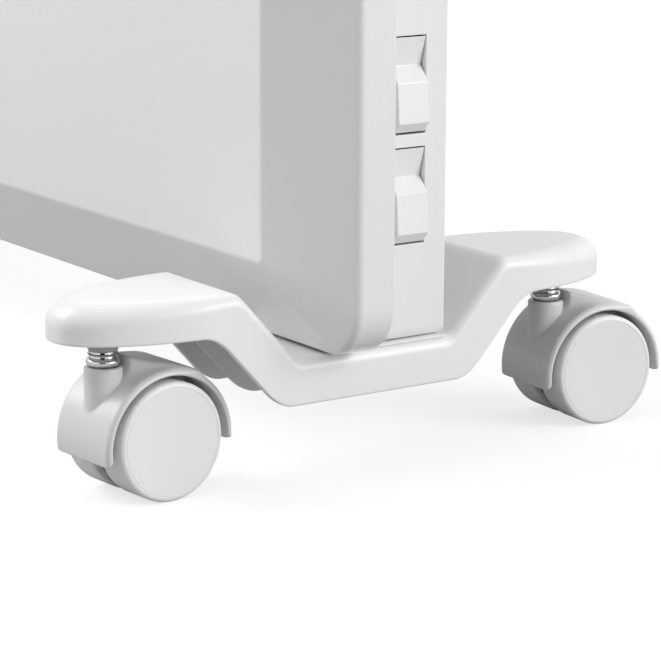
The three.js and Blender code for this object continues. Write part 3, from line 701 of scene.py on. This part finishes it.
def footPosts(bm, shape, side):
    # posts for the castor sockets and the foot screws
    v = footValues
    middle, reach, top, under, width = shape
    rim = 0.3 * mm
    for corner in ("front_" + side, "rear_" + side):
        pin = Vector(joints["swivel_" + corner]["pos_m"])
        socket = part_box("socket_" + corner)
        play = v["play"] * mm
        bore = (socket[1].x - socket[0].x) / 2.0 + play
        outer = bore + v["socketWall"] * mm
        low = under((pin.y - middle.y) / mm) * mm
        lid = (top((pin.y - middle.y) / mm) - v["socketLid"]) * mm
        ceiling = socket[1].z + play
        profile = [(0.0, ceiling), (bore, ceiling), (bore, low), (outer - rim, low),
                   (outer, low + rim), (outer, lid), (0.0, lid)]
        latheRings(bm, profile, 48, Matrix.Translation((pin.x, pin.y, 0.0)))
    for place in ("outer", "inner"):
        low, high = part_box(f"foot_screw_{side}_{place}")
        seat = low.z + v["screwSeat"] * mm
        skin = (top(0.0) - 1.0) * mm
        outer, bore = v["screwPost"] * mm, v["screwBore"] * mm
        profile = [(bore, skin), (bore, seat), (outer - rim, seat), (outer, seat + rim),
                   (outer, skin), (bore, skin)]
        latheRings(bm, profile, 32, uprightAt(low, high))


def footPiece(side):
    node, name = "foot_" + side, side + "Foot"
    shape = footShape(node)
    bm = bmesh.new()
    footSkin(bm, shape)
    footRib(bm, shape)
    footPosts(bm, shape, side)
    return settle(linked(name, meshOf(name, bm, 40.0, 1e-7)), node)


def seatPad(node, name):
    # the low raised pad that the housing stands on: a plate with a groove below it, and its core
    v = {key: value * mm for key, value in padValues.items()}
    low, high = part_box(node)
    front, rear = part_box("front_panel")[1].y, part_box("right_side_cover")[1].y
    base = high.z - footValues["troughDepth"] * mm
    bm = bmesh.new()
    for inset, lower, upper in (
        (v["inset"], v["groove"], v["height"]),
        (v["core"], -1.0 * mm, v["height"] - v["coreDrop"]),
    ):
        more = inset - v["inset"]
        addBlock(bm, (low.x + inset, front + more, base + lower),
                 (high.x - inset, rear - more, base + upper))
    piece = linked(name, meshOf(name, bm))
    addBevel(piece, v["edge"], 2)
    baked(piece)
    shade(piece.data, 40.0)
    return added(piece, node, slotOfNode[node])


for side in ("right", "left"):
    footPiece(side)
    seatPad("foot_" + side, side + "FootPad")
print("feet made")


# castor hoods, each grown as one blended volume
hoodValues = {
    "Barrel Back": 15.85,
    "Barrel Height": 18.9,
    "Axle Back": 15.4,
    "Axle Height": 20.0,
    "Outer Radius": 24.95,
    "Bay Radius": 22.85,
    "Half Width": 15.65,
    "Edge": 2.0,
    "Web": 1.8,
    "Boss Radius": 6.4,
    "Boss Top": 44.7,
    "Boss Low": 28.0,
    "Neck Top": 48.15,
    "Neck Front": 6.0,
    "Neck Back": 27.0,
    "Neck Low": 34.0,
    "Neck Fall": 0.316,
    "Neck Half": 6.3,
    "Neck Spread": 0.42,
    "Neck Edge": 3.4,
    "Neck Blend": 6.0,
    "Neck Face Edge": 1.2,
    "Neck End Edge": 3.0,
    "Boss Edge": 0.6,
    "Boss Blend": 0.35,
    "Bay Edge": 0.9,
    "Lip Edge": 1.0,
    "Lip Corner": 3.0,
    "Bore": 4.3,
    "Bore Low": 36.5,
    "Bore Edge": 0.5,
    "Hub": 6.0,
    "Hub Edge": 0.4,
    "Hub Blend": 1.0,
    "Axle Bore": 2.8,
}
mouthValues = {"frontLip": 190.0, "rearLip": -5.0, "voxel": 0.38}  # degrees, and the grid in mm


def roundedPair(first, second, edge):
    # distance to the meeting of two slabs with a rounded edge
    overFirst = (first + edge).math("MAXIMUM", 0.0)
    overSecond = (second + edge).math("MAXIMUM", 0.0)
    outside = (overFirst * overFirst + overSecond * overSecond).math("SQRT")
    inside = (first + edge).math("MAXIMUM", second + edge).math("MINIMUM", 0.0)
    return outside + inside - edge


def startTree(name, values):
    # a geometry tree with named inputs for its sizes and its finish
    tree = bpy.data.node_groups.new(name, "GeometryNodeTree")
    for label, value in values.items():
        kind = "NodeSocketInt" if isinstance(value, int) else "NodeSocketFloat"
        socket = tree.interface.new_socket(name=label, in_out="INPUT", socket_type=kind)
        socket.default_value = value
    tree.interface.new_socket(name="Finish", in_out="INPUT", socket_type="NodeSocketMaterial")
    tree.interface.new_socket(name="Geometry", in_out="OUTPUT", socket_type="NodeSocketGeometry")
    graph = Graph(tree)
    source = tree.nodes.new("NodeGroupInput")
    return graph, {socket.name: Wire(graph, socket) for socket in source.outputs if socket.name}


def volumeTree(name, values):
    # such a tree with the coordinates of the field that becomes a skin
    graph, given = startTree(name, values)
    place = graph.add("GeometryNodeInputPosition")
    parts = graph.add("ShaderNodeSeparateXYZ", {}, {0: place}).socket.node.outputs
    return graph, given, [Wire(graph, part) for part in parts]


def finishTree(graph, given, geometry):
    whole = graph.add("GeometryNodeRealizeInstances", {}, {"Geometry": geometry})
    coated = graph.add("GeometryNodeSetMaterial", {}, {"Geometry": whole, "Material": given["Finish"]})
    target = graph.tree.nodes.new("NodeGroupOutput")
    graph.tree.links.new(coated.socket, target.inputs["Geometry"])
    return graph.tree


def finishVolume(graph, given, body, low, high, voxel, longest=None):
    # body is a distance field, below zero inside and cut off at the band's width
    band = 2.0
    density = (-body).math("MINIMUM", band).math("MAXIMUM", -band)
    counts = [int((b - a) / voxel) for a, b in zip(low, high)]
    if longest is not None:
        high = graph.add("ShaderNodeCombineXYZ", {}, {0: high[0], 1: high[1], 2: longest + high[2]})
        counts[2] = (longest + 1.0) / voxel
    volume = graph.add("GeometryNodeVolumeCube", {}, {
        "Density": density, "Background": -band, "Min": low, "Max": high,
        "Resolution X": counts[0], "Resolution Y": counts[1], "Resolution Z": counts[2],
    })
    skin = graph.add("GeometryNodeVolumeToMesh", {"resolution_mode": "GRID"}, {
        "Volume": volume, "Threshold": 0.0, "Adaptivity": 0.0,
    })
    smooth = graph.add("GeometryNodeSetShadeSmooth", {}, {"Geometry": skin})
    return finishTree(graph, given, smooth)


def hoodTree():
    graph, given, (x, y, z) = volumeTree("blendedHood", hoodValues)
    across = abs(x)
    back = y - given["Barrel Back"]
    up = z - given["Barrel Height"]
    fromMiddle = (back * back + up * up).math("SQRT")
    hubBack = y - given["Axle Back"]
    hubUp = z - given["Axle Height"]
    fromAxle = (hubBack * hubBack + hubUp * hubUp).math("SQRT")
    fromStem = (x * x + y * y).math("SQRT")

    pastSide = across - given["Half Width"]
    barrel = roundedPair(fromMiddle - given["Outer Radius"], pastSide, given["Edge"])
    bossEnds = (z - given["Boss Top"]).math("MAXIMUM", given["Boss Low"] - z)
    boss = roundedPair(fromStem - given["Boss Radius"], bossEnds, given["Boss Edge"])

    fall = given["Neck Fall"]
    tilt = 1.0 / math.sqrt(1.0 + hoodValues["Neck Fall"] ** 2)
    neckTop = (z - given["Neck Top"] + (y - given["Neck Front"]) * fall) * tilt
    neckSide = across - given["Neck Half"] - (y - given["Neck Front"]) * given["Neck Spread"]
    neck = neckTop.math("SMOOTH_MAX", neckSide, given["Neck Edge"])
    neck = neck.math("SMOOTH_MAX", given["Neck Front"] - y, given["Neck Face Edge"])
    neck = neck.math("SMOOTH_MAX", y - given["Neck Back"], given["Neck End Edge"])
    neck = neck.math("MAXIMUM", given["Neck Low"] - z)

    body = barrel.math("SMOOTH_MIN", neck, given["Neck Blend"])
    body = body.math("SMOOTH_MIN", boss, given["Boss Blend"])
    bay = (fromMiddle - given["Bay Radius"]).math("MAXIMUM", given["Web"] - across)
    body = body.math("SMOOTH_MAX", -bay, given["Bay Edge"])

    # the arch ends at two planes through the middle of the barrel
    front, rear = (math.radians(mouthValues[key]) for key in ("frontLip", "rearLip"))
    aboveFront = back * math.sin(front) - up * math.cos(front)
    aboveRear = back * -math.sin(rear) + up * math.cos(rear)
    opened = (-aboveFront).math("MINIMUM", -aboveRear)
    body = body.math("SMOOTH_MAX", opened, given["Lip Edge"])
    mouth = roundedPair(pastSide, opened, given["Lip Corner"])
    body = body.math("MAXIMUM", mouth)
    hub = roundedPair(fromAxle - given["Hub"], across - given["Web"], given["Hub Edge"])
    body = body.math("SMOOTH_MIN", hub, given["Hub Blend"])
    bore = (fromStem - given["Bore"]).math("MAXIMUM", given["Bore Low"] - z)
    body = body.math("SMOOTH_MAX", -bore, given["Bore Edge"])
    body = body.math("MAXIMUM", given["Axle Bore"] - fromAxle)

    v = hoodValues
    margin = 1.2
    side, reach = v["Half Width"] + margin, v["Outer Radius"]
    low = (-side, v["Barrel Back"] - reach - margin, v["Axle Height"] - 9.0)
    high = (side, v["Barrel Back"] + reach + margin, v["Neck Top"] + margin)
    return finishVolume(graph, given, body, low, high, mouthValues["voxel"])


def grown(tree, name, values):
    # a plain mesh from a tree, with its named inputs set
    piece = linked(name, bpy.data.meshes.new(name))
    modifier = piece.modifiers.new("tree", "NODES")
    modifier.node_group = tree
    for item in tree.interface.items_tree:
        if item.item_type == "SOCKET" and item.in_out == "INPUT" and item.name in values:
            modifier[item.identifier] = values[item.name]
    return baked(piece)


def castorMatrix(corner):
    # X along the axle, Y along the trail, Z up, at the stem on the floor
    pin = Vector(joints["swivel_" + corner]["pos_m"])
    axle = Vector(joints["roll_a_" + corner]["axis"]).normalized()
    up = Vector((0.0, 0.0, 1.0))
    back = up.cross(axle)
    turn = Matrix((axle, back, up)).transposed().to_4x4()
    return Matrix.Translation((pin.x, pin.y, 0.0)) @ turn


hoodGroup = hoodTree()
for corner in corners:
    hood = grown(hoodGroup, "hood_" + corner + "_shell", {"Finish": finishes["hood"]})
    hood.data.transform(castorMatrix(corner) @ Matrix.Scale(mm, 4))
    shade(hood.data, 80.0)
    settle(hood, "hood_" + corner)
print("hoods made")


# wheels, axles, stems and sockets
wheelValues = {
    "radius": 20.0,
    "start": 3.3,
    "innerEdge": 1.0,
    "tread": 15.35,
    "edge": 1.5,
    "hub": 6.0,
    "bore": 2.8,
    "boreEnd": 13.8,
    "grooveRadius": 18.1,
    "recess": 7.0,
    "rimWall": 2.7,
    "dish": 0.5,
    "line": 0.16,
    "steps": 120,
}


def wheelProfile():
    v = wheelValues
    radius, start, tread, edge = v["radius"], v["start"], v["tread"], v["edge"]
    face = tread + edge
    inside = v["innerEdge"]
    outer = []
    for i in range(6):
        angle = math.pi / 2.0 * i / 5.0
        across = radius - inside * (1.0 - math.sin(angle))
        outer.append((across, start + inside * (1.0 - math.cos(angle))))
    outer.append((radius, tread - 0.4))
    for i in range(8):
        angle = math.pi / 2.0 * i / 7.0
        outer.append((radius - edge * (1.0 - math.cos(angle)), tread + edge * math.sin(angle)))
    groove, floorOfGroove, dish = v["grooveRadius"], face - v["line"], face - v["dish"]
    outer += [
        (groove + 0.16, face), (groove + 0.06, floorOfGroove), (groove - 0.1, floorOfGroove),
        (groove - 0.2, face - 0.02), (groove - 3.0, face - 0.1),
        (groove * 0.45, face - v["dish"] * 0.8), (2.0, dish), (0.0, dish),
    ]
    rim, bottom = radius - v["rimWall"], start + v["recess"]
    hollow = [
        (0.0, v["boreEnd"]), (v["bore"], v["boreEnd"]), (v["bore"], start), (v["hub"] - 0.4, start),
        (v["hub"], start + 0.4), (v["hub"], bottom), (rim, bottom),
        (rim, start + 0.3), (rim + 0.3, start),
    ]
    return [(r * mm, h * mm) for r, h in hollow + outer]


def turnedPiece(name, node, profile, steps, matrix, smoothAngle=35.0):
    bm = bmesh.new()
    latheRings(bm, profile, steps, matrix)
    return settle(linked(name, meshOf(name, bm, smoothAngle)), node)


def axleMatrix(corner, side):
    # the lathe's Z axis along the axle, outwards on the given side
    place = castorMatrix(corner)
    hub = place.inverted() @ Vector(joints["roll_a_" + corner]["pos_m"])
    turn = Matrix.Rotation(side * math.pi / 2.0, 4, "Y")
    return place @ Matrix.Translation((0.0, hub.y, hub.z)) @ turn


for corner in corners:
    for letter, side in (("a", 1), ("b", -1)):
        node = f"wheel_{letter}_{corner}"
        place = axleMatrix(corner, side)
        turnedPiece(node + "_disc", node, wheelProfile(), wheelValues["steps"], place, 28.0)

stemValues = {
    "pin": 4.0,
    "ring": 5.65,
    "foot": 36.8,
    "ringLow": 45.0,
    "ringTop": 47.9,
    "second": 49.0,
    "top": 64.6,
}


def stemProfile():
    v = stemValues
    pin, foot, second, top = v["pin"], v["foot"], v["second"], v["top"]
    points = [(0.0, foot), (pin - 0.4, foot), (pin, foot + 0.4), (pin, v["ringLow"])]
    middle = (v["ringLow"] + v["ringTop"]) / 2.0
    tall = (v["ringTop"] - v["ringLow"]) / 2.0
    root = pin + 0.3
    for i in range(13):
        angle = math.pi * i / 12.0
        points.append((root + (v["ring"] - root) * math.sin(angle), middle - tall * math.cos(angle)))
    points += [(pin + 0.2, v["ringTop"] + 0.25), (pin + 0.2, second - 0.3)]
    for i in range(7):
        angle = math.pi * i / 6.0
        points.append((pin + 0.4 + 0.8 * math.sin(angle), second - 0.35 * math.cos(angle)))
    points += [(pin + 0.3, second + 0.9), (pin, second + 1.0)]
    points += [(pin, top - 0.8), (pin - 0.8, top), (0.0, top)]
    return [(r * mm, h * mm) for r, h in points]


socketValues = {
    "bore": 4.3,
    "edge": 0.5,
    "collarIn": 0.95,
    "collarHeight": 1.5,
    "draft": 0.1,
    "step": 0.2,
}


def socketSleeve(node):
    # a sleeve in the foot with a slimmer collar that shows below it
    v = {key: value * mm for key, value in socketValues.items()}
    bore, edge, step = v["bore"], v["edge"], v["step"]
    low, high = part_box(node)
    outer = (high.x - low.x) / 2.0
    collar, shoulder = outer - v["collarIn"], low.z + v["collarHeight"]
    profile = [
        (bore, low.z + edge), (bore + edge, low.z), (collar - edge, low.z), (collar, low.z + edge),
        (collar + v["draft"], shoulder), (outer - step, shoulder), (outer, shoulder + step),
        (outer, high.z - edge), (outer - edge, high.z), (bore, high.z), (bore, low.z + edge),
    ]
    turnedPiece(node + "_sleeve", node, profile, 64, uprightAt(low, high))


for corner in corners:
    turnedPiece("stem_" + corner + "_pin", "stem_" + corner, stemProfile(), 64, castorMatrix(corner))
    socketSleeve("socket_" + corner)
    dressed("axle_" + corner, "axle_" + corner + "_pin", 0.3 * mm)
print("castors made")


# housing, switches and inner parts keep their CAD shape: name, edge radius and its segments
edges = {
    "back_panel": ("backPanel", 0.3, 2),
    "top_grille": ("topGrille", 0.5, 3),
    "bottom_grille": ("bottomGrille", 0.5, 3),
    "rocker_lower": ("lowerRocker", 0.45, 4),
    "rocker_upper": ("upperRocker", 0.45, 4),
    "switch_body_lower": ("lowerSwitchBody", 0.3, 2),
    "switch_body_upper": ("upperSwitchBody", 0.3, 2),
    "thermostat_body": ("thermostatBody", 0.6, 3),
    "thermostat_spindle": ("thermostatSpindle", 0.3, 2),
    "heating_element": ("heatingElement", 0.3, 2),
    "element_bracket_left": ("leftBracket", 0.3, 2),
    "element_bracket_right": ("rightBracket", 0.3, 2),
    "element_holder_left": ("leftHolder", 0.5, 2),
    "element_holder_right": ("rightHolder", 0.5, 2),
    "thermal_cutout": ("thermalCutout", 0.5, 2),
    "terminal_block": ("terminalBlock", 0.6, 2),
    "tilt_switch": ("tiltSwitch", 0.6, 2),
    "cable_gland": ("cableGland", 0.4, 2),
}
for node, (name, width, segments) in edges.items():
    dressed(node, name, width * mm, segments)

coverValues = {"seam": 0.25, "outer": 2.6, "segments": 6, "near": 0.05}


def outerEdge(node):
    # the long edges round the outer face, away from the seam with the panel
    low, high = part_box(node)
    outside = high.x if "right" in node else low.x
    near = coverValues["near"] * mm

    def chosen(edge):
        ends = [vert.co for vert in edge.verts]
        onFace = all(abs(end.x - outside) < near for end in ends)
        atRim = all(abs(end.y - high.y) < near for end in ends) or all(
            min(abs(end.z - low.z), abs(end.z - high.z)) < near for end in ends)
        return onFace and atRim
    return chosen


for side in ("right", "left"):
    node = side + "_side_cover"
    wide = (coverValues["outer"] * mm, outerEdge(node))
    dressed(node, side + "SideCover", coverValues["seam"] * mm, coverValues["segments"], wide=wide)
for node, wire in frame["nodes"].items():
    if node.startswith("wire_"):
        wire.data.materials.clear()
        wire.data.materials.append(finishes["wire"])
print("housing made")


# screws, all grown from one tree
screwValues = {
    "Head Radius": 3.95,
    "Head Height": 2.6,
    "Head Round": 1.4,
    "Shank Radius": 1.4,
    "Crest": 0.36,
    "Pitch": 1.5,
    "Length": 10.0,
    "Recess Half": 0.5,
    "Recess Reach": 2.1,
    "Recess Depth": 1.6,
    "Recess Taper": 0.6,
    "Recess Edge": 0.3,
}
screwVoxel = 0.17  # the grid, in millimetres


def screwTree():
    # a cross-headed screw with its head at the origin and its point up the Z axis
    graph, given, (x, y, z) = volumeTree("crossHeadScrew", screwValues)
    fromMiddle = (x * x + y * y).math("SQRT")
    height = given["Head Height"]
    headMiddle = z - height
    headSide = fromMiddle - given["Head Radius"]
    head = roundedPair(headSide, abs(headMiddle) - height, given["Head Round"])
    head = head.math("MAXIMUM", headMiddle)
    turn = y.math("ARCTAN2", x) - z * (2.0 * math.pi) / given["Pitch"]
    crest = turn.math("COSINE").math("MAXIMUM", 0.0).math("POWER", 3.0) * given["Crest"]
    point = (z - given["Length"] + 2.0).math("MAXIMUM", 0.0) * 0.6
    shank = (fromMiddle - given["Shank Radius"] - crest + point) * 0.7
    shank = shank.math("MAXIMUM", 1.0 - z).math("MAXIMUM", z - given["Length"])
    reach = given["Recess Reach"] - z * given["Recess Taper"]
    first = (abs(x) - given["Recess Half"]).math("MAXIMUM", abs(y) - reach)
    second = (abs(y) - given["Recess Half"]).math("MAXIMUM", abs(x) - reach)
    recess = first.math("MINIMUM", second).math("MAXIMUM", z - given["Recess Depth"])
    body = head.math("MINIMUM", shank).math("SMOOTH_MAX", -recess, given["Recess Edge"])
    margin = 0.4
    side = screwValues["Head Radius"] + margin
    low, high = (-side, -side, -margin), (side, side, margin)
    return finishVolume(graph, given, body, low, high, screwVoxel, given["Length"])


screwGroup = screwTree()
for node in frame["nodes"]:
    if "screw" not in node:
        continue
    low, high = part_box(node)
    middle = (low + high) / 2.0
    standing = node.startswith("foot")
    length = (high.z - low.z if standing else high.y - low.y) / mm
    screw = grown(screwGroup, node + "_thread", {"Finish": finishes["steel"], "Length": length})
    if standing:
        place = Matrix.Translation((middle.x, middle.y, low.z))
    else:
        lying = Matrix.Rotation(math.pi / 2.0, 4, "X")
        place = Matrix.Translation((middle.x, high.y, middle.z)) @ lying
    screw.data.transform(place @ Matrix.Scale(mm, 4))
    shade(screw.data, 50.0)
    settle(screw, node)
print("screws made")


# thermostat knob and its dial
knobValues = {
    "Radius": 13.75,
    "Skirt": 5.0,
    "Skirt Edge": 1.4,
    "Height": 13.0,
    "Crown Fall": 0.006,
    "Flutes": 40.0,
    "Flute Depth": 0.35,
    "Bar Half": 3.8,
    "Bar Reach": 11.9,
    "Bar Round": 1.3,
    "Bar Draft": 0.09,
    "Blend": 2.2,
}
knobVoxel = 0.21  # the grid, in millimetres
pointerValues = {"half": 0.45, "start": 4.5, "end": 10.4, "depth": 1.2, "below": 0.12, "edge": 0.1}
dialValues = {
    "Count": 11,
    "Start": 90.0,
    "Sweep": -270.0,
    "Radius": 16.3,
    "Length": 1.7,
    "Width": 0.45,
    "Proud": 0.12,
}


def knobTree():
    # the knob stands on the origin with its bar along Y
    graph, given, (x, y, z) = volumeTree("barKnob", knobValues)
    fromMiddle = (x * x + y * y).math("SQRT")
    wave = (y.math("ARCTAN2", x) * given["Flutes"]).math("COSINE").math("MAXIMUM", 0.0)
    fade = ((given["Skirt"] - z) * 0.6).math("MINIMUM", 1.0).math("MAXIMUM", 0.0)
    edge = fromMiddle - given["Radius"] + wave * given["Flute Depth"] * fade
    skirt = roundedPair(edge, abs(z) - given["Skirt"], given["Skirt Edge"])
    crown = given["Height"] - fromMiddle * fromMiddle * given["Crown Fall"]
    barSide = abs(x) - given["Bar Half"] + z * given["Bar Draft"]
    ends = roundedPair(barSide, z - crown, given["Bar Round"])
    bar = roundedPair(ends, abs(y) - given["Bar Reach"], given["Bar Round"])
    body = skirt.math("SMOOTH_MIN", bar, given["Blend"]).math("MAXIMUM", -z)
    margin = 0.6
    side = knobValues["Radius"] + 0.5
    low, high = (-side, -side, -margin), (side, side, knobValues["Height"] + margin)
    return finishVolume(graph, given, body, low, high, knobVoxel)


def dialTree():
    # tapered marks round the knob, one instance for each step
    graph, given = startTree("dialMarks", dialValues)
    share = graph.add("GeometryNodeInputIndex") / (given["Count"] - 1.0)
    angle = (given["Start"] + given["Sweep"] * share).math("RADIANS")
    across = angle.math("COSINE") * given["Radius"]
    along = angle.math("SINE") * given["Radius"]
    spot = graph.add("ShaderNodeCombineXYZ", {}, {0: across, 1: along})
    line = graph.add("GeometryNodeMeshLine", {}, {"Count": given["Count"]})
    points = graph.add("GeometryNodeSetPosition", {}, {"Geometry": line, "Position": spot})
    wide = given["Width"] * (0.7 + (1.0 - share) * 0.9)
    size = graph.add("ShaderNodeCombineXYZ", {}, {0: given["Length"], 1: 1.0, 2: given["Proud"] * 2.0})
    mark = graph.add("GeometryNodeMeshCube", {}, {"Size": size})
    turned = graph.add("ShaderNodeCombineXYZ", {}, {2: angle})
    scaled = graph.add("ShaderNodeCombineXYZ", {}, {0: 1.0, 1: wide, 2: 1.0})
    marks = graph.add("GeometryNodeInstanceOnPoints", {}, {
        "Points": points, "Instance": mark, "Rotation": turned, "Scale": scaled,
    })
    return finishTree(graph, given, marks)


def dialMatrix(height):
    # the dial's X along the depth, its Y up and its Z out of the cover
    knob = Vector(joints["thermostat_turn"]["pos_m"])
    turn = Matrix(((0.0, 0.0, 1.0), (1.0, 0.0, 0.0), (0.0, 1.0, 0.0))).to_4x4()
    return Matrix.Translation((height, knob.y, knob.z)) @ turn @ Matrix.Scale(mm, 4)


knobLow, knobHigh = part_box("thermostat_knob")
knob = grown(knobTree(), "flutedKnob", {"Finish": finishes["knob"]})
knob.data.transform(dialMatrix(knobLow.x))
shade(knob.data, 60.0)
settle(knob, "thermostat_knob")


def knobPointer():
    # the dark line let into the top of the bar
    v = pointerValues
    low, high = knobValues["Height"] - v["depth"], knobValues["Height"] - v["below"]
    bm = bmesh.new()
    addBlock(bm, (-v["half"], v["start"], low), (v["half"], v["end"], high))
    pointer = linked("knobPointer", meshOf("knobPointer", bm))
    addBevel(pointer, v["edge"], 2)
    baked(pointer)
    pointer.data.transform(dialMatrix(knobLow.x))
    shade(pointer.data, 40.0)
    added(pointer, "thermostat_knob", "dark_plastic")


knobPointer()
marks = grown(dialTree(), "dialMarks", {"Finish": finishes["socket"]})
marks.data.transform(dialMatrix(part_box("right_side_cover")[1].x))
shade(marks.data, 30.0)
added(marks, "right_side_cover", "socket")
print("knob and dial made")


# floor, light and camera
stageValues = {
    "floorSize": 14.0,
    "bounceTone": 0.42,
    "mirroredTone": 0.6,
    "seenTone": 0.38,
    "seenGlow": 0.7,
    "world": 0.5,
    "cardTone": 0.02,
    "cardSize": (1.5, 1.1),
    "cardPlace": (1.95, -1.22, 0.5),
    "cardAim": (0.25, -0.05, 0.1),
}
softboxes = {  # side in metres, power in watts, place and aim
    "topLight": (2.4, 3.0, (0.1, 0.1, 2.6), (0.1, 0.0, 0.0)),
    "leftLight": (1.8, 66.0, (-1.55, -1.7, 2.0), (0.1, 0.0, 0.2)),
    "rightLight": (1.8, 58.0, (2.5, 1.6, 1.2), (0.2, 0.0, 0.2)),
}


def raysOf(graph):
    # rays from the camera, and those seen in gloss or through glass
    path = graph.add("ShaderNodeLightPath").socket.node.outputs
    names = ("Is Camera Ray", "Is Glossy Ray", "Is Transmission Ray")
    return [Wire(graph, path[name]) for name in names]


def floor():
    v = stageValues
    bm = bmesh.new()
    bmesh.ops.create_grid(bm, x_segments=1, y_segments=1, size=v["floorSize"] / 2.0)
    piece = linked("floor", meshOf("floor", bm))
    material = bpy.data.materials.new("paleFloor")
    graph = emptyGraph(material)
    matt = graph.add("ShaderNodeBsdfDiffuse", {}, {"Color": colour(v["bounceTone"])})
    mirrored = graph.add("ShaderNodeBsdfDiffuse", {}, {"Color": colour(v["mirroredTone"])})
    pale = graph.add("ShaderNodeBsdfDiffuse", {}, {"Color": colour(v["seenTone"])})
    glow = graph.add("ShaderNodeEmission", {}, {"Color": colour(1.0), "Strength": v["seenGlow"]})
    both = graph.add("ShaderNodeAddShader", {}, {0: pale, 1: glow})
    camera, glossy, clear = raysOf(graph)
    seenInGloss = glossy.math("MAXIMUM", clear)
    inGloss = graph.add("ShaderNodeMixShader", {}, {0: seenInGloss, 1: matt, 2: mirrored})
    surface = graph.add("ShaderNodeMixShader", {}, {0: camera, 1: inGloss, 2: both})
    graph.add("ShaderNodeOutputMaterial", {}, {"Surface": surface})
    piece.data.materials.append(material)


def world():
    sky = bpy.data.worlds.new("studio")
    graph = emptyGraph(sky)
    level = stageValues["world"]
    camera, glossy, clear = raysOf(graph)
    strength = camera.math("MAXIMUM", glossy).math("MAXIMUM", clear) * (1.0 - level) + level
    light = graph.add("ShaderNodeBackground", {}, {"Color": colour(1.0), "Strength": strength})
    graph.add("ShaderNodeOutputWorld", {}, {"Surface": light})
    scene.world = sky


def darkCard():
    # a black card behind the camera, seen only in gloss, gives the plated rings their dark band
    v = stageValues
    bm = bmesh.new()
    wide, tall = (size / 2.0 for size in v["cardSize"])
    place = Vector(v["cardPlace"])
    turn = (Vector(v["cardAim"]) - place).to_track_quat("Z", "Y").to_matrix().to_4x4()
    shape = Matrix.Translation(place) @ turn @ Matrix.Diagonal((wide, tall, 1.0, 1.0))
    bmesh.ops.create_grid(bm, x_segments=1, y_segments=1, size=1.0, matrix=shape)
    piece = linked("darkCard", meshOf("darkCard", bm))
    material = bpy.data.materials.new("blackCard")
    graph = emptyGraph(material)
    matt = graph.add("ShaderNodeBsdfDiffuse", {}, {"Color": colour(v["cardTone"])})
    graph.add("ShaderNodeOutputMaterial", {}, {"Surface": matt})
    piece.data.materials.append(material)
    for flag in ("visible_camera", "visible_diffuse", "visible_shadow", "visible_transmission"):
        setattr(piece, flag, False)


def softbox(name, size, power, place, aim):
    lamp = bpy.data.lights.new(name, "AREA")
    lamp.shape = "SQUARE"
    lamp.size = size
    lamp.energy = power
    box = bpy.data.objects.new(name, lamp)
    scene.collection.objects.link(box)
    box.location = place
    box.rotation_euler = (Vector(aim) - Vector(place)).to_track_quat("-Z", "Y").to_euler()


cameraValues = {
    "azimuth": 55.613,
    "elevation": 13.01,
    "roll": 0.21,
    "pixelFocal": 2645.8,
    "frameWidth": 661,
    "fromFoot": (0.72638, -0.49972, 0.24847),
}


def camera():
    v = cameraValues
    azimuth, elevation, roll = (math.radians(v[key]) for key in ("azimuth", "elevation", "roll"))
    level = math.cos(elevation)
    back = Vector((math.sin(azimuth) * level, -math.cos(azimuth) * level, math.sin(elevation)))
    right = Vector((math.cos(azimuth), math.sin(azimuth), 0.0))
    up = back.cross(right)
    turnedRight = right * math.cos(roll) + up * math.sin(roll)
    turnedUp = up * math.cos(roll) - right * math.sin(roll)
    lens = bpy.data.cameras.new("camera")
    lens.sensor_width = 36.0
    lens.lens = lens.sensor_width * v["pixelFocal"] / v["frameWidth"]
    lens.clip_start = 0.01
    lens.clip_end = 100.0
    eye = bpy.data.objects.new("camera", lens)
    scene.collection.objects.link(eye)
    low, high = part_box("foot_right")
    foot = Vector(((low.x + high.x) / 2.0, (low.y + high.y) / 2.0, 0.0))
    turn = Matrix((turnedRight, turnedUp, back)).transposed().to_4x4()
    eye.matrix_world = Matrix.Translation(foot + Vector(v["fromFoot"])) @ turn
    scene.camera = eye


floor()
world()
darkCard()
for name, values in softboxes.items():
    softbox(name, *values)
camera()
scene.view_settings.view_transform = "Standard"
print("stage lit, camera set")
